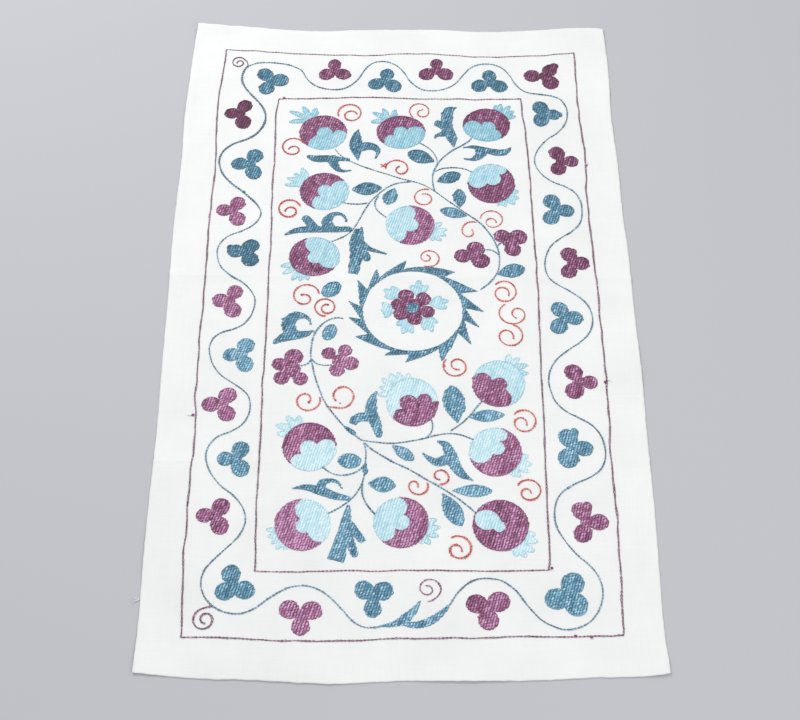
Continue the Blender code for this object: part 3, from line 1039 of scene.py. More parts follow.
LEAVES = [
    # x, y, length, width, axis of the sharp end, sharp ends, tone
    (24, 210.8, 33.5, 18.7, -24, 1, 0.23),
    (55.5, 180.3, 29.5, 16, 203, 1, 0.29),
    (67, 151, 26.5, 14.5, -88, 1, 0.36),
    (60.0, 130, 31, 13.8, -16, 1, 0.46),
    (121.5, 50, 32, 18.5, 196, 1, 0.37),
    (-38, 164.2, 34.5, 18, 5, 2, 0.34),
    (-11, 153.5, 25, 15.5, 68, 1, 0.36),
    (-75.2, 25.3, 24.5, 17.5, 222, 0, 0.48),
    (-75.8, -30, 21.5, 14.5, 66, 0, 0.48),
    (-51.8, -184.7, 24, 17, -4, 0, 0.59),
    (-19.3, -211.2, 27.5, 17.3, 176, 1, 0.56),
    (2.4, -175.3, 27.5, 12.6, 143, 1, 0.58),
    (55.6, -118, 45, 22.5, -83, 1, 0.60),
    (89, -132, 38, 14, 184, 2, 0.63),
    (71.5, -218.2, 40, 13.5, 180, 1, 0.66),
    (50.8, -239, 39.5, 18, 116, 1, 0.54),
]
HOOKED = [
    # name, widths, then the middle line's points, and its end if it is not round
    ("hook_01", (0, 9, 14.5, 13.5, 8, 0), ((-49, 252.3), (-50.8, 241), (-51.8, 228.5), (-50, 216.5), (-48.5, 205))),
    ("hook_01", (12, 11, 9, 6, 2.8, 0.3), ((-47, 224.5), (-38, 227), (-30, 225), (-25.8, 219.5), (-27, 213), (-29.5, 207.5))),
    ("hook_02", (4.5, 8.5, 10, 9, 6, 4), ((-106, 211), (-98, 208), (-86, 208), (-74, 208), (-60, 206.5))),
    ("hook_02", (13, 11, 8, 5.5, 3, 0.8), ((-78, 208), (-76, 200), (-72, 193), (-66, 189.7), (-56, 191))),
    ("hook_03", (0, 12, 13.5, 13, 13.5, 11.5, 0.5), ((66.3, 286.5), (57.5, 280.5), (54.5, 267), (55.5, 252), (60, 240), (62, 226))),
    ("hook_03", (9, 9.5, 9), ((53, 254.5), (48, 259), (43.5, 262))),
    ("hook_03", (9, 7, 4, 1.5), ((54, 247), (48, 245), (43, 243), (40, 239))),
    ("hook_04", (0.6, 4.5, 7.5, 9.5, 8.5, 0.4), ((73, 225), (84, 226), (97, 222), (111, 218), (121, 218.5), (129, 226))),
    ("hook_04", (14, 10.5, 6, 2.6, 1.6), ((95, 221), (91, 213), (86, 208.5), (80, 207.5), (73, 208.5))),
    ("hook_05", (1, 6, 8.5, 8.5, 8, 6.5), ((-129, 98.5), (-117, 104.5), (-100, 106.5), (-78, 106.5), (-57, 107))),
    ("hook_05", (11, 9.5, 9), ((-97, 109), (-102, 116.5), (-106, 122))),
    ("hook_05", (15, 9.5, 4.4, 2.8, 1.2), ((-80, 108), (-82, 118.5), (-76, 127), (-67.5, 128), (-61.7, 122.5), (-61, 117))),
    ("hook_06", (10, 15, 17, 15, 12, 10), ((-46.8, 103.5), (-48.3, 91), (-47.5, 76), (-49.5, 62), (-52.5, 46)), "cut"),
    ("hook_06", (6, 3.5, 0.8), ((-45, 101), (-43.5, 106), (-42.6, 110))),
    ("hook_06", (10, 6, 3.5, 1.5), ((-43, 86), (-35, 80), (-26, 76.5), (-15, 73))),
    ("hook_06", (12, 9.5, 8.5), ((-44, 76), (-39, 71), (-36.5, 66.5))),
    ("hook_07", (4, 11, 10, 7, 1), ((-134, -43), (-124, -36.5), (-111, -34), (-100, -31.7), (-93, -28))),
    ("hook_07", (14, 14.5, 11.5, 5.5, 2.6, 0.5), ((-117, -31), (-120, -19), (-113, -9.5), (-104, -9.5), (-98, -14), (-96, -21))),
    ("hook_07", (12, 8, 4), ((-118, -23), (-122.5, -16.5), (-125.5, -13.5))),
    ("hook_08", (0.5, 8, 12, 12, 10, 6.5), ((-25, -103), (-29.7, -114), (-30.5, -128), (-25.5, -142), (-22.3, -155))),
    ("hook_08", (10, 10, 9, 7), ((-33, -134), (-42, -134), (-47.5, -137.5), (-49.5, -142)), "cut"),
    ("hook_09", (0.5, 6, 10, 8, 5), ((-109, -216), (-96, -214.5), (-80, -218.5), (-66, -224), (-52, -227))),
    ("hook_09", (11, 8, 4.4, 2.8, 0.6), ((-80, -218), (-79, -210), (-72, -207), (-64, -208.5), (-59, -216))),
    ("hook_10", (4, 10, 13, 14, 17), ((-52.3, -236), (-54.5, -252), (-56.5, -267), (-60.5, -281), (-64, -294)), "cut"),
    ("hook_10", (11, 8, 7), ((-51.5, -256), (-44, -265), (-38.5, -272))),
    ("hook_10", (11, 8, 6.5), ((-52.5, -270), (-48, -280), (-45, -288))),
    ("hook_11", (1.5, 8, 12.5, 11, 8, 0.6), ((37.5, -162), (45.5, -166), (50.5, -178), (56, -192), (62.5, -200.5), (72, -206.5))),
    ("hook_11", (12, 9, 5.5, 0.6), ((46, -183), (37, -186), (29, -182), (22, -175.5))),
    ("split_leaf", (0.8, 5.5, 9.5, 6, 0.4), ((-21, -361.5), (-6, -359), (4, -353.5), (12, -345.5), (19, -335))),
    ("split_leaf", (3.5, 6.5, 7.8, 5.6, 1.0), ((0, -358.5), (14, -360), (27, -356.5), (38, -348.5), (47, -339))),
    ("stem_bud_1", (0.8, 4.5, 5, 1), ((-58, -144.5), (-53.5, -148.5), (-49, -152), (-46, -155))),
    ("stem_bud_2", (0.8, 4, 4.5, 1), ((-36, -186), (-36.5, -191), (-36, -196), (-36.5, -201))),
    ("stem_bud_3", (0.8, 4.5, 0.8), ((-67, 207.5), (-63, 207), (-58, 204.8))),
]
LOBED = [
    # name, x, y, radius
    ("lobed_01", 83, 80, 10.0), ("lobed_01", 68.5, 70.5, 9.0), ("lobed_01", 88.5, 64, 10.0), ("lobed_01", 79, 73, 8.5),
    ("lobed_02", 113, 98, 8.8), ("lobed_02", 131, 96.5, 10.2), ("lobed_02", 124.5, 79.5, 9.0), ("lobed_02", 122, 91, 9.0),
    ("lobed_03", -113, -61, 9.8), ("lobed_03", -128, -70, 7.5), ("lobed_03", -125, -87, 8.0), ("lobed_03", -105, -88, 7.8),
    ("lobed_03", -116, -76, 10.5),
    ("lobed_04", -76, -56.5, 7.3), ("lobed_04", -59, -53, 7.3), ("lobed_04", -52.5, -69, 8.2), ("lobed_04", -67, -77.5, 7.6),
    ("lobed_04", -64, -66, 8.2),
]
RING = dict(x=13.0, y=-2.0, rx=54.0, ry=51.5, band=4.6, back=4.2)
SPIKES = [
    # angle of the tip, its distance from the centre
    (96, 67.5), (48, 70), (20, 75.5), (-1, 77), (-17, 74.5), (-35.5, 76), (-65.5, 72.5),
    (-97, 67.5), (-117.5, 65.5), (-151, 70), (-172.5, 69.5), (-190, 70), (-214, 71.5), (-235, 68),
]
PETALS = [
    # x, y, radius
    (6, 17, 8.4), (24.5, 13, 8.2), (29, -3.5, 7.6), (15, -12.5, 8.0), (0, -6.5, 7.6), (-2, 5.5, 7.8), (13, 1, 12),
]
SPRIGS = [
    # base x, y, then the tips of the three fronds of each leaflet round the middle flower
    (20, 19, (11.5, 31), (20.5, 37.5), (30.3, 31)),
    (33.5, 8, (43.5, 16.5), (51.5, 10.5), (50, 1.5)),
    (26.5, -12, (39.5, -17), (34, -29), (25.5, -27)),
    (8, -15, (-4, -20.5), (2, -31.5), (12.5, -31)),
    (-9.5, -1.5, (-19.5, 8.5), (-21.5, -1), (-17, -11)),
    (-2, 17, (-17, 16), (-18, 25.5), (-9.5, 29.5)),
]
SPIRALS = [
    # colour, x, y, radius where it starts, x, y, radius where it ends, start, turns (+ is clockwise going in), tone
    ("coral", -59, 277.3, 13.8, -56.8, 273.5, 6.0, 203, 1.52, 0.42),
    ("coral", -125, 225.5, 12.6, -124.4, 220.2, 5.0, 22, -1.39, 0.28),
    ("coral", -3, 192.7, 13.3, 0.2, 193, 3.8, 177, 1.19, 0.40),
    ("coral", -125.5, 135.2, 12.8, -124.4, 131.2, 5.2, 14, -1.45, 0.28),
    ("coral", 23.7, 280.5, 12.3, 26.4, 277.5, 4.6, 231, 1.40, 0.52),
    ("coral", 27.5, 151.5, 11.7, 27.4, 150, 6.8, 64, -1.13, 0.56),
    ("coral", 103, 121, 12.8, 103, 117, 4.2, 178, 1.51, 0.52),
    ("coral", 80, 105.5, 11.6, 76.2, 103.8, 4.6, 64, -0.93, 0.54),
    ("coral", 31, 68, 11.8, 29, 68.8, 2.8, 245, -1.56, 0.46),
    ("coral", 113.6, 22.4, 13.6, 111.4, 20.5, 6.6, 138, 1.46, 0.44),
    ("coral", 120.5, -6, 14.3, 126.4, -6.5, 5.2, 118, -1.37, 0.48),
    ("coral", 117.0, -33.7, 13.8, 114.0, -35.2, 6.6, 79, 1.28, 0.46),
    ("coral", -103, 18.5, 14.0, -105.2, 13, 5.6, 4, -1.32, 0.44),
    ("coral", -80.7, 2.5, 11.9, -79.6, 0.6, 4.8, 266, 1.55, 0.44),
    ("coral", -96.6, -114.5, 12.4, -99.4, -113, 5.4, 21, 1.19, 0.50),
    ("coral", -62, -109, 13.6, -60.6, -108.5, 8.8, 266, -0.89, 0.50),
    ("coral", 58, -72.6, 12.6, 60, -71, 5.4, 136, -1.42, 0.48),
    ("coral", 127.6, -139, 13.0, 124, -141.5, 5.8, 142, 1.44, 0.46),
    ("coral", 128.6, -218.8, 12.8, 126.4, -220.7, 3.6, 151, 1.43, 0.44),
    ("coral", 40.5, -202.5, 8.0, 38.6, -201.2, 4.6, 258, -1.06, 0.42),
    ("coral", 17.5, -213.5, 9.6, 13, -213, 4.3, 27, 1.12, 0.42),
    ("coral", 57, -281, 12.9, 55, -283, 4.4, 125, 1.39, 0.38),
    ("plum", -194.4, 356.6, 7.8, -193.6, 355.4, 3.0, 52, -1.38, 0.16),
    ("plum", -187.4, -354.8, 10.4, -186.2, -354.8, 3.9, 100, -1.50, 0.32),
    ("plum", 27.5, -322.8, 10.6, 25.2, -323.6, 3.6, 305, -1.47, 0.46),
]
SPIRAL_WEIGHTS = (1.15, 0.97, 1.02, 1.23, 0.79, 0.90, 0.73, 0.79, 0.90, 0.90, 0.87, 0.90, 1.06, 1.04, 1.04, 1.06, 1.06, 0.97, 1.04,
                  1.12, 1.20, 1.14, 1.28, 1.52, 1.12)
SPIRAL_TAILS = {
    # the points that lead to some spirals' outer ends, by the spiral's number
    16: ((-77.5, -121.2), (-71, -122.2), (-66, -122.8)),
    23: ((-183, 351), (-184.5, 357.5)),
    24: ((-180.5, -341.5), (-185.5, -342.5)),
    25: ((25, -336.5), (29.5, -335.2)),
}
SPIRAL_LUMPS = {
    # little lumps of thread beside the line: x, y, size
    3: ((-19.6, 197.6, 1.3),),
    14: ((-81.7, -9.2, 1.3),),
    16: ((-62.8, -117.5, 0.9),),
    17: ((46.0, -72.0, 1.5),),
    22: ((49.5, -288.3, 1.2),),
}
STEMS = [
    # name, tone, points
    ("stem_right", 0.40, ((86.5, 25), (96.5, 33), (103.5, 42), (107.5, 52), (109, 65), (108.3, 78), (105, 90), (98.5, 103), (88.5, 116.3),
                          (76, 127.3), (63.5, 138.7), (51.5, 149), (39, 161))),
    ("stem_right_2", 0.34, ((39, 161), (37.5, 169), (37, 178), (38.3, 188), (41.5, 198), (46, 206), (52.5, 213.8), (61, 221.3), (72, 228),
                            (80, 234.5), (82.5, 238.5))),
    ("stem_fruit_05", 0.40, ((40, 189), (47, 193.3), (57, 195.4), (68, 195), (76, 192.5), (81.5, 189))),
    ("stem_fruit_02", 0.38, ((22, 231.7), (30, 227), (37, 219.3), (41, 210), (42.7, 201))),
    ("stem_fruit_01", 0.36, ((-76, 223), (-71.5, 216), (-66, 210), (-59, 205), (-50, 199.7), (-33, 192), (-16, 185.3), (0, 179.5),
                             (14, 174.8), (27, 169.5), (39, 161))),
    ("stem_fruit_07", 0.38, ((14, 174.6), (5, 173.5), (-5, 171.3), (-15, 166), (-24, 158), (-33, 147), (-40, 133.5), (-47, 117.5),
                             (-53.5, 105.5), (-60, 99.3), (-69, 93.3), (-79, 88.2))),
    ("stem_fruit_04", 0.36, ((-37, 143.5), (-48, 141.8), (-58, 142.5), (-66, 144.7))),
    ("stem_fruit_06", 0.36, ((-24.5, 154.5), (-28.3, 146.5), (-28.3, 138.5), (-24, 131), (-16, 123.5))),
    ("stem_lobed_01", 0.42, ((90, 78.4), (97, 79.2), (104, 76.8), (108.3, 72.5))),
    ("stem_lobed_02", 0.42, ((107.5, 83), (109.5, 86.8), (114, 89.5))),
    ("stem_left", 0.40, ((-61, -12.5), (-69, -11.8), (-77, -14.5), (-84, -20), (-90, -28.5), (-94, -39), (-95, -51), (-94.7, -62),
                         (-93, -73), (-90, -86), (-84.5, -102), (-77, -119), (-67, -134.5), (-55, -147.8), (-40, -161))),
    ("stem_fruit_11", 0.48, ((-40, -161), (-24, -163.3), (-8, -164.6), (8, -162.3), (25, -158.5), (40, -154.7), (52, -153.2), (62, -155),
                             (74, -160))),
    ("stem_fruit_09", 0.50, ((51, -150), (62, -141), (72, -131), (79, -122), (84, -115))),
    ("stem_fruit_08", 0.48, ((26, -158), (31, -152), (32.3, -143), (31, -135))),
    ("stem_fruit_14", 0.48, ((-38, -163), (-31, -170), (-20, -178.3), (-7, -186.5), (9, -195.3), (25, -205.3), (40, -214.5), (52, -223.5),
                             (63, -232.5), (74, -242))),
    ("stem_fruit_12", 0.48, ((-38, -163), (-35.5, -172), (-35.8, -185), (-36.8, -199), (-39, -210), (-45, -221.5), (-52, -230),
                             (-61.7, -237.3), (-72, -243.5))),
    ("stem_fruit_10", 0.48, ((-36, -188), (-42, -195), (-51, -199.6), (-61, -200.8), (-70.5, -198), (-79, -192))),
    ("stem_fruit_13", 0.48, ((-38.5, -209), (-39, -221), (-35, -232), (-26, -244))),
    ("stem_lobed_04", 0.42, ((-94.3, -63), (-89, -69), (-82, -71.3), (-72.5, -70.8))),
    ("stem_lobed_03", 0.42, ((-94.3, -64), (-98, -69.5), (-105, -72))),
]
STEM_WEIGHTS = {
    # how heavy each stem is beside the common one
    "stem_right": 1.05, "stem_right_2": 1.1, "stem_fruit_05": 0.98, "stem_fruit_02": 0.97, "stem_fruit_01": 0.68, "stem_fruit_06": 1.02,
    "stem_lobed_01": 1.05, "stem_lobed_02": 0.74, "stem_left": 1.05, "stem_fruit_11": 0.8, "stem_fruit_09": 1.02, "stem_fruit_08": 1.18,
    "stem_fruit_14": 1.12, "stem_fruit_12": 0.88, "stem_fruit_10": 0.94, "stem_fruit_13": 1.3, "stem_lobed_04": 0.75, "stem_lobed_03": 0.92,
}
# The waving stem of the border, clockwise from the upper left corner, in its two halves.
WAVE_1 = [
    (-183, 350.5), (-172, 355.3), (-156, 356.3), (-131, 351.8), (-118, 343), (-112, 331), (-100, 319), (-81, 313.3), (-64, 316.5),
    (-51, 329), (-40, 349), (-30, 357.5), (-19, 359), (-6, 354), (4.5, 341.5), (13, 326), (25, 315), (37, 312), (51.5, 314.5),
    (65, 322.5), (75, 336.5), (84, 348), (96, 354.6), (109, 354.8), (123, 348.3), (132, 335), (138.5, 321), (149, 311), (164, 307.2),
    (179, 304.8), (190, 299), (196, 287), (196.3, 272), (192, 259), (183, 247.3), (171.5, 238), (162.5, 227), (156.5, 215), (155, 204),
    (158, 193), (164, 183.3), (174, 175), (188, 168), (198, 160), (204, 148), (205, 135), (201.5, 117), (192, 105), (180, 96.5), (169, 87),
    (162, 74), (159, 59), (162.5, 41), (172, 32), (184, 24), (196, 14), (204, 2), (206.3, -9), (205, -21), (199.5, -33), (190, -42.5),
    (177, -52.5), (165, -63.5), (158, -75.5), (155, -89), (156, -100), (160.5, -114.5), (170, -125.7), (184, -134.2), (197, -143.3),
    (204.3, -154), (208, -169), (207, -183), (201, -194.5), (190, -203), (174, -211), (160, -221), (154, -233), (152.5, -247),
    (154.3, -260), (160.5, -272), (172, -287.5), (184, -299.3), (191, -310.5), (194, -325), (191, -340.5), (182.5, -354), (171, -361.7),
    (158, -364.6), (147, -362.3), (134, -355), (120.6, -339.5), (110, -325), (96, -314.5), (81, -312.4), (68, -315.6), (56, -325.7),
    (47, -339),
]
WAVE_2 = [
    (-19, -362), (-34, -362.4), (-45.5, -357), (-57, -343.8), (-71, -329.5), (-83, -322.3), (-95.5, -320), (-110, -323), (-125, -332),
    (-139.6, -343.3), (-154, -349), (-170, -347), (-183.5, -338.5), (-191, -326), (-192.7, -314), (-190, -303.5), (-181.5, -292.5),
    (-170, -280), (-158.5, -267), (-153.8, -255), (-154, -246), (-158.3, -235), (-168, -223), (-180, -213.5), (-190, -201), (-195.3, -190),
    (-197.3, -179), (-195.3, -168), (-188, -158), (-174, -151), (-163.5, -143.5), (-157.5, -133), (-155.6, -121), (-158.5, -109),
    (-166, -100.5), (-176, -93), (-188, -83.7), (-197, -72), (-201.3, -60), (-202.8, -49), (-199, -38), (-191, -31), (-178, -26),
    (-168, -20), (-161, -10), (-157.4, 3), (-158, 14), (-164, 25), (-172, 34), (-184, 41.5), (-191, 48), (-197, 55.5), (-201.3, 67),
    (-202.2, 78), (-199, 88), (-191, 97), (-178, 103.5), (-166, 111), (-159, 120), (-156.8, 130), (-161, 140), (-172, 152), (-182, 162),
    (-192, 171), (-201, 182), (-206.3, 193), (-208.2, 204), (-206.6, 213.5), (-201.5, 222), (-192, 230), (-179, 236), (-168, 244),
    (-161, 255), (-158, 266), (-158.4, 275), (-161.5, 284), (-167, 293), (-176, 304), (-184, 315), (-188.6, 326), (-189, 336),
    (-186.5, 345), (-183, 350.5),
]
OUTER_LINE = [
    (-210.5, 377.3), (-213.3, 330), (-214.5, 280), (-214, 240), (-212.5, 205), (-213.5, 150), (-214, 100), (-213, 40), (-213.8, -20),
    (-213, -100), (-210.8, -150), (-211.3, -230), (-210.4, -310), (-207.5, -373),
    (-163, -373), (-125, -375.7), (-69, -376.6), (-34, -375), (13, -373.8), (57, -373), (101, -372.2), (131, -372), (181, -371.4),
    (210.5, -370),
    (212, -330), (213, -290), (214.2, -245), (213, -190), (214.4, -140), (215.2, -90), (214.8, -30), (214.2, 30), (213, 80), (211.6, 130),
    (212, 170), (213, 215), (211.5, 250), (210.3, 295), (211, 345), (211, 374),
    (201, 373.2), (175, 370.3), (145, 368.2), (116, 366.9), (90, 366.9), (54, 370.2), (19, 371.7), (-4, 370.9), (-40, 368.9),
    (-70, 368.8), (-98, 369.5), (-128, 371), (-148, 372.6), (-178, 375.6), (-210.5, 377.3),
]
OUTER_CORNERS = (0, 13, 23, 39, 54)
INNER_LINE = [
    (-143.6, 298.4), (-145.8, 280), (-146, 255), (-144.7, 225), (-145, 165), (-144, 100), (-144.4, 40), (-143.7, 0), (-143.8, -100),
    (-143, -150), (-143.3, -230), (-142, -290), (-141.5, -305.3),
    (-104, -306.2), (-63, -304.7), (-16, -304.4), (28, -304), (72, -304.7), (143, -303.7),
    (145, -290), (145.7, -250), (146.7, -190), (147.3, -110), (148.6, -40), (149.5, 40), (149, 100), (148.4, 185), (146.4, 235),
    (144, 275), (143, 300),
    (72, 299), (13, 299.7), (-22, 301), (-57, 301.5), (-92, 299.7), (-122, 298.8), (-143.6, 298.4),
]
INNER_CORNERS = (0, 12, 18, 29, 36)


def spiral_path(x, y, outer, x2, y2, inner, start, turns, seed):
    """A hand-drawn spiral: its middle and its radius drift as it winds in."""
    n = 90
    s = np.linspace(0, 1, n)
    w = s * s * (3 - 2 * s)
    a = np.radians(start - turns * 360 * s)
    r = outer + (inner - outer) * w
    rng = np.random.default_rng(seed)
    r = r * (1 + 0.02 * np.sin(a + rng.uniform(0, 6)) + 0.02 * np.sin(a * 2 + rng.uniform(0, 6)))
    return np.stack([x + (x2 - x) * w + r * np.cos(a), y + (y2 - y) * w + r * np.sin(a)], -1)


def uneven_path(path, size, seed):
    rng = np.random.default_rng(seed)
    p = resample(path, 2.0)
    n = len(p)
    g = np.gradient(p, axis=0)
    g /= np.maximum(np.hypot(g[:, 0], g[:, 1]), 1e-9)[:, None]
    off = soft_line(n, rng, 8) * size
    off = off * np.clip(np.minimum(np.arange(n), np.arange(n)[::-1]) / 4.0, 0, 1)
    return p + np.stack([-g[:, 1], g[:, 0]], -1) * off[:, None]


def corner_runs(points, corners):
    return [np.array(points[a:b + 1], float) for a, b in zip(corners[:-1], corners[1:])]


# The light blue rows are tied with longer, evener stitches than the dark ones, with less painted shade between them.
LIKE = {"plum": dict(), "sky": dict(contrast=0.72, dash=2.25, gap_shade=0.17)}
PALE = (0.32, 0.22, 0.16, 0.44, 0.44, 0.52, 0.44, 0.66, 0.55, 0.66, 0.66, 0.68, 0.54, 0.66)


def make_pomegranates():
    for k, (name, x, y, rx, ry, body, patch, tone, notches, swells) in enumerate(POMEGRANATES):
        disc = oval(x, y, rx, ry, uneven=0.012, seed=100 + k)
        lobed = patch_side(x, y, scallops(notches, swells))
        skin = Region([disc], cut=[lobed])
        heart = Region([disc], kept=lobed)
        crown = Region([frond(*row) for row in CROWNS[name]], cut=[disc])
        b = Build()
        tones = {"plum": tone, "sky": PALE[k]}
        index = {body: 0, patch: 1}
        laid_fill(b, skin, tones[body], 200 + k, index[body], **LIKE[body])
        laid_fill(b, heart, tones[patch], 230 + k, index[patch], **LIKE[patch])
        laid_fill(b, crown, tones["sky"], 260 + k, index["sky"], high=0.8, **LIKE["sky"])
        edge_line(b, skin, tones[body] - 0.02, 290 + k, index[body])
        edge_line(b, heart, tones[patch] - 0.02, 320 + k, index[patch], radius=0.5)
        edge_line(b, crown, tones["sky"] - 0.02, 350 + k, index["sky"], radius=0.45)
        b.finish("pomegranate_" + name[-2:], [SILKS[body], SILKS[patch]])


def make_trefoils():
    for k, (colour, tone, *lobes) in enumerate(TREFOILS):
        region = Region(trefoil_polys(lobes, 400 + 4 * k))
        b = Build()
        laid_fill(b, region, tone, 430 + k)
        edge_line(b, region, tone - 0.03, 460 + k)
        b.finish(f"trefoil_{k + 1:02d}", [SILKS[colour]])


def trefoil_polys(lobes, seed):
    cx, cy = sum(p[0] for p in lobes[:3]) / 3, sum(p[1] for p in lobes[:3]) / 3
    polys = []
    for j, (x, y, r) in enumerate(lobes):
        lean = math.degrees(math.atan2(y - cy, x - cx))
        if j > 2:
            polys.append(oval(x, y, r, r * 0.9, lean, uneven=0.03, seed=seed + j))
            continue
        # each lobe runs in towards the middle
        dx, dy = (cx - x) / math.hypot(cx - x, cy - y), (cy - y) / math.hypot(cx - x, cy - y)
        polys.append(oval(x + 0.5 * dx, y + 0.5 * dy, r + 0.7, r * 0.985, lean, uneven=0.038, seed=seed + j))
    polys.append(oval(cx, cy, 6.6, 6.6, uneven=0.05, seed=seed))
    return polys


def make_leaves():
    for k, (x, y, length, width, axis, sharp, tone) in enumerate(LEAVES):
        region = Region([leaf_shape(x, y, length, width, axis, sharp)])
        b = Build()
        laid_fill(b, region, tone, 500 + k, contrast=1.1)
        edge_line(b, region, tone - 0.03, 530 + k)
        b.finish(f"leaf_{k + 1:02d}", [TEAL])


HOOK_TONES = {"hook_01": 0.32, "hook_02": 0.30, "hook_03": 0.34, "hook_04": 0.32, "hook_05": 0.34, "hook_06": 0.36,
              "hook_07": 0.46, "hook_08": 0.50, "hook_09": 0.50, "hook_10": 0.50, "hook_11": 0.52, "split_leaf": 0.52,
              "stem_bud_1": 0.40, "stem_bud_2": 0.42, "stem_bud_3": 0.34}


def make_hooked():
    names = []
    for row in HOOKED:
        if row[0] not in names:
            names.append(row[0])
    for k, name in enumerate(names):
        polys = [blade(np.array(points, float), widths, *end) for n, widths, points, *end in HOOKED if n == name]
        region = Region(polys)
        b = Build()
        tone = HOOK_TONES[name]
        laid_fill(b, region, tone, 560 + k, contrast=1.1)
        edge_line(b, region, tone - 0.03, 590 + k, radius=0.55)
        b.finish(name, [TEAL])


def make_lobed():
    names = sorted({row[0] for row in LOBED})
    for k, name in enumerate(names):
        polys = [oval(x, y, r, r * 0.97, uneven=0.03, seed=620 + j) for j, (n, x, y, r) in enumerate(LOBED) if n == name]
        region = Region(polys)
        b = Build()
        tone = 0.36 if name in ("lobed_01", "lobed_02") else 0.54
        laid_fill(b, region, tone, 650 + k, contrast=1.2)
        edge_line(b, region, tone - 0.03, 680 + k)
        b.finish("lobed_flower_" + name[-2:], [PLUM])


def flame_ring():
    """The ring's outer side: flames that sweep clockwise round it."""
    c = (RING["x"], RING["y"])
    base = 0.5 * (RING["rx"] + RING["ry"]) + RING["band"]
    pts = []
    tips = list(SPIKES)
    for k, (angle, dist) in enumerate(tips):
        before = tips[k - 1][0] + (360 if k == 0 else 0)
        start = before + RING["back"]
        for s in np.linspace(0, 1, 12, endpoint=False):
            a = start + (angle - start) * s
            r = base - 1.0 + (dist - base + 1.0) * (0.60 * s + 0.40 * s**3)
            pts.append((a, r))
        pts.append((angle, dist))
        for s in (0.35, 0.75):
            pts.append((angle + RING["back"] * s * 1.0, dist + (base - dist) * (s**0.8)))
    a = np.radians([p[0] for p in pts])
    r = np.array([p[1] for p in pts])
    squash = RING["ry"] / RING["rx"]
    return np.stack([c[0] + r * np.cos(a), c[1] + r * np.sin(a) * (0.5 + 0.5 * squash)], -1)


def make_medallion():
    outer = flame_ring()
    inner = oval(RING["x"], RING["y"], RING["rx"], RING["ry"], n=110, uneven=0.004, seed=700)
    region = Region([outer], cut=[inner])
    b = Build()
    laid_fill(b, region, 0.38, 701, contrast=1.1)
    edge_line(b, region, 0.36, 702, radius=0.55)
    b.finish("medallion_ring", [TEAL])
    petals = [oval(x, y, r, r, uneven=0.03, seed=710 + k) for k, (x, y, r) in enumerate(PETALS)]
    eye = oval(13, 1, 7.0, 6.6, seed=720)
    b = Build()
    flower = Region(petals, cut=[eye])
    laid_fill(b, flower, 0.34, 721, 0, contrast=1.2)
    edge_line(b, flower, 0.31, 722, 0)
    laid_fill(b, Region([eye]), 0.36, 723, 1)
    edge_line(b, Region([eye]), 0.34, 724, 1, radius=0.5)
    for k, (x, y, *tips) in enumerate(SPRIGS):
        sprig = Region([frond(x, y, tx, ty, 8.6) for tx, ty in tips], cut=petals)
        laid_fill(b, sprig, 0.46, 730 + k, 2, high=0.8, **LIKE["sky"])
        edge_line(b, sprig, 0.44, 740 + k, 2, radius=0.45)
    b.finish("medallion_flower", [PLUM, TEAL, SKY])


def make_spirals():
    for k, (colour, *shape, tone) in enumerate(SPIRALS):
        shape[2] += 0.5
        path = spiral_path(*shape, 800 + k)
        b = Build()
        weight = SPIRAL_WEIGHTS[k]
        if k + 1 in SPIRAL_TAILS:
            tail = np.array(SPIRAL_TAILS[k + 1], float)
            path = smooth(np.concatenate([tail, path[4::6]]), 6)
        if colour == "plum":
            chain(b, path, tone, 830 + k, link=3.0, width=0.70, thick=0.30, weight=weight)
        else:
            chain(b, path, tone, 830 + k, link=2.9, width=0.95, thick=0.40, weight=weight)
        for j, (x, y, size) in enumerate(SPIRAL_LUMPS.get(k + 1, ())):
            knot(b, x, y, size, tone + 0.06, 870 + 4 * k + j)
        if k + 1 == 3:
            for x0, y0, x1, y1 in ((-23.2, 200.4, -16.8, 195.6), (-22.4, 195.2, -16.6, 200.6)):
                chain(b, np.linspace((x0, y0), (x1, y1), 5), tone, 890 + int(y0), link=3.6, width=0.8, thick=0.36)
        b.finish(f"spiral_{k + 1:02d}", [SILKS[colour]])


